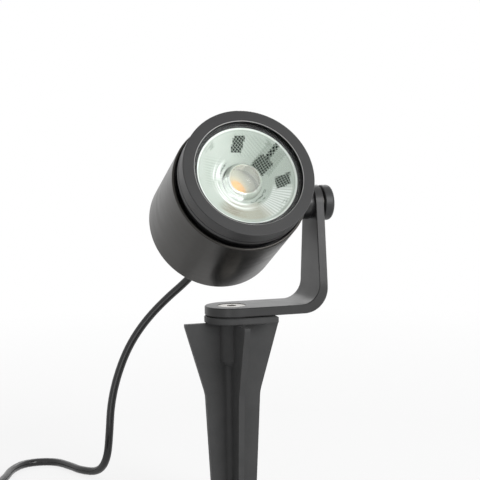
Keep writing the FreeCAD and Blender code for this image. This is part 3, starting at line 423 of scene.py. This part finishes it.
def mesh_piece(name, vertices, faces):
    """Piece from points and faces, smooth but for edges that turn by over 35 degrees."""
    mesh = bpy.data.meshes.new(name)
    mesh.from_pydata(vertices.tolist(), [], faces)
    mesh.polygons.foreach_set("use_smooth", np.ones(len(mesh.polygons), bool))
    mesh.set_sharp_from_angle(angle=math.radians(35))
    mesh.update()
    piece = bpy.data.objects.new(name, mesh)
    bpy.context.scene.collection.objects.link(piece)
    return piece


def swept_rings(name, rings):
    """Piece from rings of points (count, around, 3): quads between them, a fan at each end."""
    count, around = rings.shape[:2]
    total = count * around
    index = np.arange(total).reshape(count, around)
    ahead = np.roll(index, -1, axis=1)
    quads = np.stack((index[:-1], ahead[:-1], ahead[1:], index[1:]), axis=-1)
    fans = (np.column_stack((ahead[0], index[0], np.full(around, total))),
            np.column_stack((index[-1], ahead[-1], np.full(around, total + 1))))
    vertices = np.vstack((rings.reshape(-1, 3), rings[[0, -1]].mean(axis=1)))
    faces = quads.reshape(-1, 4).tolist() + fans[0].tolist() + fans[1].tolist()
    return mesh_piece(name, vertices, faces)


def turned_rings(radii, heights, around):
    """Profile turned about the head's axis: every point a ring, given across, up and along."""
    angle = np.linspace(0.0, 2 * math.pi, around, endpoint=False)
    along = np.repeat(heights[:, None], around, axis=1)
    return np.stack((np.outer(radii, np.cos(angle)), np.outer(radii, np.sin(angle)), along), axis=-1)


def pillow_height(across, up):
    """Rise of the pillows, the root of a product of two sines: one bulge per cell of a net."""
    bulge = np.abs(np.sin(math.pi * across / PILLOW_PITCH) * np.sin(math.pi * up / PILLOW_PITCH))
    return PILLOW_RISE * np.sqrt(bulge)


def lens_shell():
    """Core, shoulder, bowl, rim, flange, curved side and foot, as one profile turned round.

    Shoulder and side are quarter ellipses. The bowl is a cone, and its pillows fade
    out towards both of its edges.
    """
    shoulder_turn = np.linspace(0.0, math.pi / 2, 12)
    core = np.concatenate(([AXIS_GAP, CORE_RADIUS - CORE_BEVEL, CORE_RADIUS, CORE_RADIUS],
                           CORE_RADIUS + (SHOULDER_RADIUS - CORE_RADIUS) * np.sin(shoulder_turn)))
    core_heights = np.concatenate(([SOURCE_IMAGE, SOURCE_IMAGE, SOURCE_IMAGE + CORE_BEVEL,
                                    CORE_TOP - CORE_LIP],
                                   BOWL_LOW + (CORE_TOP - BOWL_LOW) * np.cos(shoulder_turn)))
    bowl = np.linspace(BOWL_INNER, BOWL_RADIUS, 66)
    share = (bowl - BOWL_INNER) / (BOWL_RADIUS - BOWL_INNER)
    side_turn = np.linspace(math.pi / 2, 0.0, 24)
    side = LENS_FOOT_RADIUS + (LENS_SIDE_RADIUS - LENS_FOOT_RADIUS) * np.sin(side_turn)
    side_heights = LENS_BACK + (LENS_FLANGE_LOW - LENS_BACK) * (1 - np.cos(side_turn))
    under_floor = SOURCE_IMAGE - CORE_FLOOR_THICK
    radii = np.concatenate((core, bowl, [LENS_RADIUS - RIM_BEVEL, LENS_RADIUS, LENS_RADIUS], side,
                            [CORE_RADIUS, POCKET_RADIUS, AXIS_GAP]))
    heights = np.concatenate((core_heights, BOWL_LOW + (BOWL_TOP - BOWL_LOW) * share,
                              [LENS_FRONT, LENS_FRONT - RIM_BEVEL, LENS_FLANGE_LOW], side_heights,
                              [LENS_BACK, under_floor, under_floor]))
    rings = turned_rings(radii, heights, LENS_AROUND)
    fade = (np.clip((bowl - BOWL_INNER) / PILLOW_FADE, 0.0, 1.0)
            * np.clip((BOWL_RADIUS - bowl) / PILLOW_FADE, 0.0, 1.0))
    pillows = rings[len(core):len(core) + len(bowl)]
    pillows[..., 2] += fade[:, None] * (pillow_height(pillows[..., 0], pillows[..., 1]) - PILLOW_RISE)
    return swept_rings("lens_shell", head_to_lamp(rings)[::-1])


lens_body = lens_shell()
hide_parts("lens")
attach(lens_body, "head")

# ---- What the lens shows ---------------------------------------------------------
# The clear acrylic's reflections of its holder, the light source and the room are
# painted into its colour in pale green and grey, as painted light and shade. These
# painted images are laid over each other as shapes in real sizes: angles are in degrees
# from +X, and lengths in millimetres unless MM stands beside them.
# Painted light: the bowl is painted lighter on its left than on its right.
LIT_LEFT_TONE = (0.46, 0.50, 0.46)
SHADED_RIGHT_TONE = (0.38, 0.42, 0.38)
DARK = (0.016, 0.020, 0.018)
GREY = (0.22, 0.26, 0.22)
WHITE = (0.95, 0.97, 0.95)
BROWN = (0.16, 0.12, 0.08)
CREAM = (0.38, 0.36, 0.29)
SHOULDER_TONE = (0.36, 0.39, 0.35)
CORE_WALL_TONE = (0.88, 0.88, 0.82)
CORE_FLOOR_TONE = (0.50, 0.49, 0.42)
CORE_SHADE = (0.30, 0.31, 0.28)
SOURCE_RIM = (0.62, 0.52, 0.36)
SOURCE_MIDDLE = (0.84, 0.42, 0.12)
FAN_LINES = 84
SOURCE_TURN = -125
SOURCE_SQUEEZE = 1.6
STREAK_RADIUS = 18 * MM             # where streaks are as long as they are written

optic, optic_shader = shader_of("optic", (0.7, 0.75, 0.72), 0.16, ior=1.49, shine=0.25)
lens_places = head_coordinates(optic)
lens_across, lens_up, lens_along = add_node(optic, "SeparateXYZ", Vector=lens_places).outputs
lens_reach = distance_from_axis(optic, (lens_across, lens_up))
lens_angle = sums(optic, "ARCTAN2", lens_up, lens_across)
around_lens = add_node(optic, "CombineXYZ", X=sums(optic, "MULTIPLY", lens_angle, STREAK_RADIUS),
                       Y=lens_reach).outputs[0]
# Each point of a pillow counts as its low corner, so that patches are of whole pillows.
pillow_corner = add_node(optic, "VectorMath", {"operation": "SNAP"}, i0=lens_places,
                         i1=(PILLOW_PITCH, PILLOW_PITCH, 1.0)).outputs[0]
pillow_parts = add_node(optic, "SeparateXYZ", Vector=pillow_corner).outputs


def band(material, value, low, high, soft):
    """1 between low and high, falling to 0 over soft metres on each side."""
    up = add_node(material, "MapRange", {"clamp": True}, Value=value, From_Min=low - soft,
                  From_Max=low + soft).outputs[0]
    down = add_node(material, "MapRange", {"clamp": True}, Value=value, From_Min=high - soft,
                    From_Max=high + soft, To_Min=1.0, To_Max=0.0).outputs[0]
    return sums(material, "MULTIPLY", up, down)


def overlap(first, second):
    """Product of two masks: 1 only where both are."""
    return sums(optic, "MULTIPLY", first, second)


def sector(low, high, inner, outer, soft=1.0):
    """Mask of part of a ring, between two angles and two radii."""
    return overlap(band(optic, lens_angle, math.radians(low), math.radians(high),
                        math.radians(6 * soft)),
                   band(optic, lens_reach, inner * MM, outer * MM, 0.5 * soft * MM))


def arcs(size, length, middle, width):
    """Streaks that run round the lens: noise on its angle and radius, drawn out along the angle."""
    noise = speckle(optic, size * MM, 2.0, where=around_lens, stretch=(length, 1.0, 1.0))
    return spread_over(optic, noise, 0.0, 1.0, middle, width)


def hatch(pitch, turn, share):
    """Parallel strokes, turned in the front's plane: a sine wave cut so that a share is stroke."""
    waves = 2 * math.pi / (pitch * MM)
    cos, sin = math.cos(math.radians(turn)), math.sin(math.radians(turn))
    phase = sums(optic, "MULTIPLY_ADD", lens_across, waves * cos,
                 sums(optic, "MULTIPLY", lens_up, waves * sin))
    wave = sums(optic, "MULTIPLY_ADD", sums(optic, "SINE", phase), 0.5, 0.5)
    return spread_over(optic, wave, 0.0, 1.0, 1.0 - share, 0.18)


def patch(centre, size, turn, slant):
    """Mask of a turned and slanted rectangle of whole pillows."""
    soft = 0.2 * MM
    x = sums(optic, "SUBTRACT", pillow_parts[0], centre[0] * MM)
    y = sums(optic, "SUBTRACT", pillow_parts[1], centre[1] * MM)
    cos, sin = math.cos(math.radians(turn)), math.sin(math.radians(turn))
    straight = sums(optic, "MULTIPLY_ADD", x, cos, sums(optic, "MULTIPLY", y, sin))
    over = sums(optic, "MULTIPLY_ADD", y, cos, sums(optic, "MULTIPLY", x, -sin))
    slanted = sums(optic, "MULTIPLY_ADD", over, -slant, straight)
    return overlap(band(optic, slanted, -size[0] * MM / 2, size[0] * MM / 2, soft),
                   band(optic, over, -size[1] * MM / 2, size[1] * MM / 2, soft))


# Each layer is a mask, a shade and how strongly the shade covers what lies under it.
# First painted reflections: fine level lines on the left, a painted pale glow with fanned lines at the
# lower right, slanted lines above.
left_zone = overlap(band(optic, lens_across, -22 * MM, -9 * MM, 1.5 * MM),
                    band(optic, lens_up, -4 * MM, 12 * MM, 2 * MM))
fan_zone = sector(-72, -16, 16.0, 25.5)
fan_wave = sums(optic, "SINE", sums(optic, "MULTIPLY", lens_angle, FAN_LINES))
layers = [
    (overlap(hatch(1.5, 90, 0.5), left_zone), GREY, 0.3),
    (fan_zone, WHITE, 0.5),
    (overlap(spread_over(optic, fan_wave, 0.0, 1.0, 0.2, 0.5), fan_zone), GREY, 0.45),
    (overlap(hatch(1.4, 40, 0.5), sector(50, 100, 14, 25)), GREY, 0.25),
]
# Painted reflections of the holder's clips at the rim, and of brown and cream streaks at the lower
# left.
for clip in (-43, 47, 137):
    clip_zone = sector(clip - 9, clip + 9, 23.2, 26.0, 0.4)
    layers.append((overlap(clip_zone, arcs(0.9, 4.0, 0.55, 0.06)), GREY, 0.6))
layers.append((sector(-132, -66, 13.5, 25.0, 1.5), CREAM, 0.7))
layers.append((overlap(arcs(1.0, 5.0, 0.5, 0.1), sector(-136, -104, 16.5, 24.0)), BROWN, 0.5))
# Hatched patches, painted reflections of the dark holder: centre, size, turn, slant,
# stroke pitch, stroke turn, the shade and strength of the strokes, and the strength of
# the grey ground under them.
PATCHES = [
    ((14.6, 10.8), (13.5, 12.0), 45, 0.0, 1.4, 42, GREY, 0.5, 0.25),
    ((-1.6, 19.5), (6.2, 8.2), -8, 0.15, 1.35, 50, DARK, 1.0, 0.7),
    ((11.0, 8.2), (8.5, 8.5), 40, 0.0, 1.3, 25, DARK, 0.95, 0.6),
    ((16.8, 14.4), (9.0, 2.6), 45, 0.0, 1.6, 0, DARK, 1.0, 0.5),
    ((20.1, -2.8), (7.6, 6.6), 12, 0.3, 1.3, 15, DARK, 0.95, 0.7),
]
for centre, size, turn, slant, pitch, stroke, shade, strength, ground_strength in PATCHES:
    spot = patch(centre, size, turn, slant)
    strokes = overlap(hatch(pitch, stroke, 0.9), hatch(pitch, stroke + 90, 0.93))
    layers.append((spot, GREY, ground_strength))
    layers.append((overlap(spot, strokes), shade, strength))
# Painted rings of light and broken dark arcs round the core, and a painted pale highlight on the rim
# with a thin grey line inside it.
swirls = arcs(1.7, 14.0, 0.5, 0.1)
for low, high in ((135, 179), (-179, -80)):
    layers.append((overlap(swirls, sector(low, high, 10.8, 18, 2.0)), WHITE, 0.7))
for low, high, inner, outer in ((-80, -24, 12.0, 13.1), (-66, -44, 14.1, 14.7), (126, 162, 12.6, 13.4)):
    broken = arcs(0.8, 4.0, 0.47, 0.06)
    layers.append((overlap(broken, sector(low, high, inner, outer, 0.4)), DARK, 0.6))
layers.append((band(optic, lens_reach, 26.2 * MM, 26.4 * MM, 0.15 * MM), GREY, 0.5))
layers.append((band(optic, lens_reach, 26.8 * MM, 29 * MM, 0.2 * MM), WHITE, 0.6))
# The core: its shoulder is painted darker, with a painted white reflection on one side
# that is also made metallic, its wall has painted shade on the other, and its floor is
# painted darker than its wall and carries a painted image of the light source,
# magnified to an oval with a ragged edge.
crescent = sums(optic, "MAXIMUM", sector(-200, -98, 8.4, 11.8), sector(165, 200, 8.4, 11.8))
inside = band(optic, lens_reach, -MM, CORE_RADIUS + 0.1 * MM, 0.05 * MM)
on_floor = sums(optic, "LESS_THAN", lens_along, SOURCE_IMAGE + 0.3 * MM)
source_turned = add_node(optic, "VectorRotate", {"rotation_type": "Z_AXIS"}, Vector=lens_places,
                         Angle=math.radians(SOURCE_TURN)).outputs[0]
source_long, source_wide, _ = add_node(optic, "SeparateXYZ", Vector=source_turned).outputs
oval = distance_from_axis(optic, (source_long, sums(optic, "MULTIPLY", source_wide, SOURCE_SQUEEZE)))
ragged = sums(optic, "MULTIPLY_ADD", speckle(optic, 2.5 * MM, 2.0, where=lens_places), 0.9 * MM, oval)
layers += [
    (band(optic, lens_reach, -MM, BOWL_INNER, 0.1 * MM), SHOULDER_TONE, 1.0),
    (crescent, WHITE, 1.0),
    (inside, CORE_WALL_TONE, 1.0),
    (overlap(inside, on_floor), CORE_FLOOR_TONE, 1.0),
    (sector(-55, 70, 7.2, 8.7, 0.6), CORE_SHADE, 0.7),
    (band(optic, ragged, -MM, 6.6 * MM, 0.9 * MM), SOURCE_RIM, 0.8),
    (band(optic, ragged, -MM, 4.4 * MM, 0.9 * MM), SOURCE_MIDDLE, 1.0),
]
# Painted light and shade: the colour runs from lighter on the left to darker on the right, with random
# clouds of tone over it.
pale = add_node(optic, "MapRange", {"clamp": True}, Value=lens_across, From_Min=-14 * MM,
                From_Max=16 * MM).outputs[0]
cloud = spread_over(optic, speckle(optic, 7 * MM, 3.0, where=lens_places), -0.22, 0.22)
colour = mixed(optic, sums(optic, "ADD", pale, cloud), LIT_LEFT_TONE, SHADED_RIGHT_TONE)
for mask, shade, strength in layers:
    colour = mixed(optic, sums(optic, "MULTIPLY", mask, strength), colour, shade)
drive(optic, optic_shader.inputs["Base Color"], colour)
drive(optic, optic_shader.inputs["Metallic"], sums(optic, "MULTIPLY", crescent, 0.8))
lens_body.data.materials.append(optic)

# ---- Dome and holder -------------------------------------------------------------
# The core ends in a clear ball cap, through which its inside is seen. A moulded black
# cup holds the lens by its flange.
DOME_RADIUS = CORE_RADIUS - 0.05 * MM
DOME_LOW = CORE_TOP - 0.5 * MM
DOME_TOP = 39.4 * MM
DOME_AROUND = 96
CAP_END = 0.004                     # radians from the axis, where a fan closes the cap


def see_through(name, colour, roughness, ior, clarity=1.0):
    """Clear solid that bends light, a little milky below full clarity; the lamps shine through."""
    material, shader = shader_of(name, colour, roughness, ior=ior)
    shader.inputs["Transmission Weight"].default_value = clarity
    shadow = add_node(material, "LightPath").outputs["Is Shadow Ray"]
    gate = add_node(material, "MixShader", i0=shadow, i1=shader.outputs[0],
                    i2=add_node(material, "BsdfTransparent").outputs[0])
    drive(material, material.node_tree.nodes["Material Output"].inputs["Surface"], gate.outputs[0])
    return material


def cap_profile(rim, low, top, count):
    """Radii and heights of a ball cap from its rim up to just beside its top."""
    rise = top - low
    ball = (rim**2 + rise**2) / (2 * rise)
    turn = np.linspace(math.asin(rim / ball), CAP_END, count)
    return ball * np.sin(turn), top - ball * (1 - np.cos(turn))


clear_acrylic = see_through("clear_acrylic", (0.97, 0.99, 0.97), 0.02, 1.16, clarity=0.88)
cap_radii, cap_heights = cap_profile(DOME_RADIUS, DOME_LOW, DOME_TOP, 32)
dome_rings = turned_rings(np.append(AXIS_GAP, cap_radii), np.append(DOME_LOW, cap_heights),
                          DOME_AROUND)
lens_dome = swept_rings("lens_dome", head_to_lamp(dome_rings))
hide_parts("lens")
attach(lens_dome, "head")
lens_dome.data.materials.append(clear_acrylic)
holder_black = moulded_plastic("holder_black", (0.006, 0.006, 0.006), (0.012, 0.012, 0.012), 0.5,
                               0.3 * MM, 0.01 * MM)
dress(holder_black, "lens_holder")

# ---- Front glass and bezel -------------------------------------------------------
# A flat toughened glass with a low-reflection coat lies on a thin gasket under the
# lip of the turned bezel, which screws into the barrel over its O-ring.
PAINTED_EDGE_HIGHLIGHT = (0.6, 0.6, 0.59)
PAINTED_GROOVE_SHADE = (0.004, 0.004, 0.004)
EDGE_SOFT = 0.08 * MM


def painted_edge_lines(material, lines):
    """Thin painted lines of highlight and shade round the head, on a coat's edges.

    Each has a radius, a place along the axis and half a width in millimetres, and a
    shade. It is the overlap of a band in radius and a band along.
    """
    shader = material.node_tree.nodes["Principled BSDF"]
    parts = add_node(material, "SeparateXYZ", Vector=head_coordinates(material)).outputs
    reach = distance_from_axis(material, parts)
    colour = shader.inputs["Base Color"].links[0].from_socket
    for radius, along, half, shade in lines:
        line = sums(material, "MULTIPLY",
                    band(material, reach, (radius - half) * MM, (radius + half) * MM, EDGE_SOFT),
                    band(material, parts[2], (along - half) * MM, (along + half) * MM, EDGE_SOFT))
        colour = mixed(material, line, colour, shade)
    drive(material, shader.inputs["Base Color"], colour)


bezel_coat = coated_metal("bezel_coat", (0.036, 0.036, 0.037), (0.048, 0.048, 0.048), 0.42)
# The lip's inner edge gets a thin painted highlight, and the groove at the ring's rear edge a painted
# shade.
painted_edge_lines(bezel_coat, [(29.8, 44.5, 0.28, PAINTED_EDGE_HIGHLIGHT), (36.0, 35.5, 0.3, PAINTED_GROOVE_SHADE)])
dress(bezel_coat, "bezel")
dress(see_through("coated_glass", (0.98, 1.0, 0.99), 0.0, 1.14), "front_glass")
dress(sealing_rubber, "bezel_oring", "glass_gasket")

# ---- Rear cover and gland ----------------------------------------------------------
# The turned cover sits on its O-ring under three screws. The gland's nut squeezes a
# rubber sleeve round the lead.
cover_coat = coated_metal("cover_coat", (0.040, 0.040, 0.041), (0.058, 0.058, 0.058), 0.4)
gland_nylon = moulded_plastic("gland_nylon", (0.012, 0.012, 0.012), (0.022, 0.022, 0.022), 0.42,
                              0.35 * MM, 0.015 * MM)
dress(cover_coat, "rear_cover")
dress(sealing_rubber, "rear_oring", "gland_seal")
dress(stainless, "cover_screws")
dress(gland_nylon, "gland_body", "gland_nut")

# ---- Lead ------------------------------------------------------------------------
# A round rubber-sheathed two-core lead, moulded into its plug. It leaves the gland,
# drops behind the lamp, lies on the soil and is put away as a tied coil.
LEAD_THICK = 4.8 * MM
SEAL_END = -42.8 * MM               # where the lead leaves the gland's sleeve, on the head's axis
FIRST_BEND = -60.0 * MM
LYING = LEAD_THICK / 2              # height of the lead's middle on the soil
HANGING = 20.0 * MM                 # height over which it counts as hanging
OUTWARDS = np.array((-0.5, 0.85, 0.0))
DROP_ROUTE = np.array([
    (1.0, 64.0, 131.0), (-5.5, 69.5, 121.8), (-17.0, 75.0, 111.0), (-28.8, 79.5, 98.0),
    (-39.0, 82.0, 82.8), (-46.5, 82.5, 65.0), (-51.0, 82.0, 47.5), (-52.5, 81.0, 30.0),
    (-54.0, 82.0, 13.5), (-57.5, 91.5, 3.6)]) * MM
LYING_ROUTE = np.array([
    (-66.0, 104.5, 2.4), (-69.5, 116.0, 2.4), (-77.0, 132.5, 2.4), (-95.0, 135.0, 2.4),
    (-106.5, 121.5, 2.4), (-112.5, 104.5, 2.4), (-121.0, 88.5, 2.4), (-130.5, 73.0, 2.4),
    (-141.0, 57.5, 2.8)]) * MM
COIL_CENTRE = np.array((-116.0, 16.0)) * MM
COIL_OUTER_RADIUS = 34.0 * MM
COIL_PITCH = 5.4 * MM
COIL_TURNS_IN = 3.25
COIL_TURNS = 6.25
COIL_CLIMB_TURNS = 0.5
COIL_FLOOR_GAP = 0.8 * MM
COIL_POINTS_PER_TURN = 16
APPROACH = 24.0 * MM
TAIL_LENGTH = 13.0 * MM
PLUG_DIP = math.radians(3.0)


def on_axis(along):
    """Point on the head's axis, so far in front of the pivot."""
    return PIVOT + HEAD_AXIS * along


def coil_line(turns):
    """Spiral in by one pitch a turn, out again at the same rate one layer higher.

    The angle grows with the turns from the -X side, and the height follows a
    smooth step in the half turn where the spiral reverses.
    """
    radius = COIL_OUTER_RADIUS - COIL_PITCH * (COIL_TURNS_IN - np.abs(turns - COIL_TURNS_IN))
    climb = np.clip((turns - COIL_TURNS_IN) / COIL_CLIMB_TURNS + 0.5, 0.0, 1.0)
    height = LYING + COIL_FLOOR_GAP + COIL_PITCH * climb**2 * (3 - 2 * climb)
    angle = math.pi + 2 * math.pi * turns
    return np.column_stack((COIL_CENTRE[0] + radius * np.cos(angle),
                            COIL_CENTRE[1] + radius * np.sin(angle), height))


def coil_way(turns):
    """Direction of the coil's line, from its ends a thousandth of a turn to each side."""
    ends = coil_line(np.array((turns - 0.001, turns + 0.001)))
    return (ends[1] - ends[0]) / np.linalg.norm(ends[1] - ends[0])


def smooth_line(controls, name):
    """Points along the quadratic NURBS spline that has the given control points."""
    curve = bpy.data.curves.new(name, "CURVE")
    curve.dimensions = "3D"
    spline = curve.splines.new("NURBS")
    spline.points.add(len(controls) - 1)
    spline.points.foreach_set("co", np.column_stack((controls, np.ones(len(controls)))).ravel())
    spline.order_u = 3
    spline.use_endpoint_u = True
    spline.resolution_u = 5
    guide = bpy.data.objects.new(name, curve)
    line = bpy.data.meshes.new_from_object(guide)
    points = np.zeros(len(line.vertices) * 3)
    line.vertices.foreach_get("co", points)
    bpy.data.meshes.remove(line)
    bpy.data.objects.remove(guide)
    bpy.data.curves.remove(curve)
    return points.reshape(-1, 3)


def tube_rings(line, radius, around=20):
    """Circles square to a line; their zero mark faces up on the soil and outwards above it."""
    way = np.gradient(line, axis=0)
    way /= np.linalg.norm(way, axis=1)[:, None]
    hanging = np.clip(line[:, 2] / HANGING, 0.0, 1.0)[:, None]
    mark = np.array((0.0, 0.0, 1.0)) + hanging * OUTWARDS
    side = np.cross(way, mark)
    side /= np.linalg.norm(side, axis=1)[:, None]
    top = np.cross(side, way)
    angle = np.linspace(0, 2 * math.pi, around, endpoint=False)[None, :, None]
    return line[:, None] + radius * (np.cos(angle) * top[:, None] + np.sin(angle) * side[:, None])


coil_points = coil_line(np.arange(COIL_TURNS * COIL_POINTS_PER_TURN + 1) / COIL_POINTS_PER_TURN)
tail_way = coil_way(COIL_TURNS)
tail_way[2] = -math.tan(PLUG_DIP)
tail_way /= np.linalg.norm(tail_way)
lead_line = smooth_line(np.vstack((
    on_axis(SEAL_END), on_axis(FIRST_BEND), DROP_ROUTE, LYING_ROUTE,
    coil_points[0] - coil_way(0.0) * APPROACH, coil_points,
    coil_points[-1] + tail_way * TAIL_LENGTH)), "lead_guide")
lead = swept_rings("lead", tube_rings(lead_line, LEAD_THICK / 2))
lead_sheath = rubber("lead_sheath", (0.006, 0.006, 0.0065), 0.2)
lead.data.materials.append(lead_sheath)
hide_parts("lead_drop", "lead_lying", "lead_coil", "lead_tail")
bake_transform(lead)
tie_nylon = moulded_plastic("tie_nylon", (0.010, 0.010, 0.010), (0.020, 0.020, 0.020), 0.35,
                            0.4 * MM, 0.01 * MM)
plug_plastic = moulded_plastic("plug_plastic", (0.014, 0.014, 0.015), (0.026, 0.026, 0.027), 0.4,
                               0.35 * MM, 0.015 * MM)
dress(lead_sheath, "lead_entry")
dress(tie_nylon, "coil_tie")
dress(plug_plastic, "plug_body")
dress(sealing_rubber, "plug_seal")
dress(brass, "plug_pins")

# ---- Floor, background and light -------------------------------------------------
# A pale ground at the soil line keeps a soft shadow and lets the buried spike show
# through. Round it is a white studio, with a large soft box at the right front, a
# small low one at the left front and one behind.
FLOOR_REACH = 1.2
FLOOR_SOLID = 0.25
FLOOR_NEAR = 0.25
FLOOR_FAR = 0.8
FLOOR_GLOW = 0.25
WORLD_LIGHT = 0.3
LIGHT_TARGET = np.array((0.0, 0.0, 0.15))


def soft_box(name, spot, size, power):
    """Rectangular area lamp at a spot, facing the lamp head."""
    light = bpy.data.lights.new(name, "AREA")
    light.shape = "RECTANGLE"
    light.size, light.size_y = size
    light.energy = power
    back = np.array(spot) - LIGHT_TARGET
    back /= np.linalg.norm(back)
    right = np.cross((0.0, 0.0, 1.0), back)
    right /= np.linalg.norm(right)
    return place(bpy.data.objects.new(name, light),
                 np.column_stack((right, np.cross(back, right), back)), np.array(spot))


ground, ground_shader = shader_of("ground", (0.92, 0.92, 0.92), 0.9, shine=0.0)
ground_shader.inputs["Emission Color"].default_value = (1.0, 1.0, 1.0, 1.0)
drive(ground, ground_shader.inputs["Emission Strength"],
      sums(ground, "MULTIPLY", add_node(ground, "LightPath").outputs["Is Camera Ray"], FLOOR_GLOW))
away = add_node(ground, "VectorMath", {"operation": "LENGTH"},
                i0=object_coordinates(ground)).outputs["Value"]
solid = add_node(ground, "MapRange", {"clamp": True}, Value=away, From_Min=FLOOR_NEAR,
                 From_Max=FLOOR_FAR, To_Min=FLOOR_SOLID, To_Max=0.0).outputs[0]
ground_mix = add_node(ground, "MixShader", i0=solid,
                      i1=add_node(ground, "BsdfTransparent").outputs[0],
                      i2=ground_shader.outputs[0])
drive(ground, ground.node_tree.nodes["Material Output"].inputs["Surface"], ground_mix.outputs[0])
floor = mesh_piece("floor", np.array([(-1, -1, 0), (1, -1, 0), (1, 1, 0), (-1, 1, 0)]) * FLOOR_REACH,
                   [(0, 1, 2, 3)])
floor.data.materials.append(ground)
floor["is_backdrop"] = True

# The room is white to the eye, in gloss and through glass, and lights the rest gently.
world = bpy.data.worlds.new("studio")
bpy.context.scene.world = world
world.use_nodes = True
rays = add_node(world, "LightPath").outputs
direct = sums(world, "MAXIMUM", rays["Is Camera Ray"], rays["Is Glossy Ray"])
direct = sums(world, "MAXIMUM", direct, rays["Is Transmission Ray"])
unscattered = sums(world, "LESS_THAN", rays["Diffuse Depth"], 0.5)
world_strength = add_node(world, "MapRange", Value=sums(world, "MULTIPLY", direct, unscattered),
                          To_Min=WORLD_LIGHT, To_Max=1.0).outputs[0]
backdrop = world.node_tree.nodes["Background"]
backdrop.inputs["Color"].default_value = (1.0, 1.0, 1.0, 1.0)
drive(world, backdrop.inputs["Strength"], world_strength)
soft_box("key", (0.7, -1.25, 0.65), (0.9, 0.8), 15.0)
soft_box("left", (-0.75, -1.2, 0.08), (0.5, 0.4), 1.3)
soft_box("back", (0.3, 1.2, 0.9), (0.9, 0.5), 3.0)
bpy.context.scene.view_settings.view_transform = "Standard"

size = {"cad": [list(corner) for corner in cad_box],
        "visual": [list(corner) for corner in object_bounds()]}
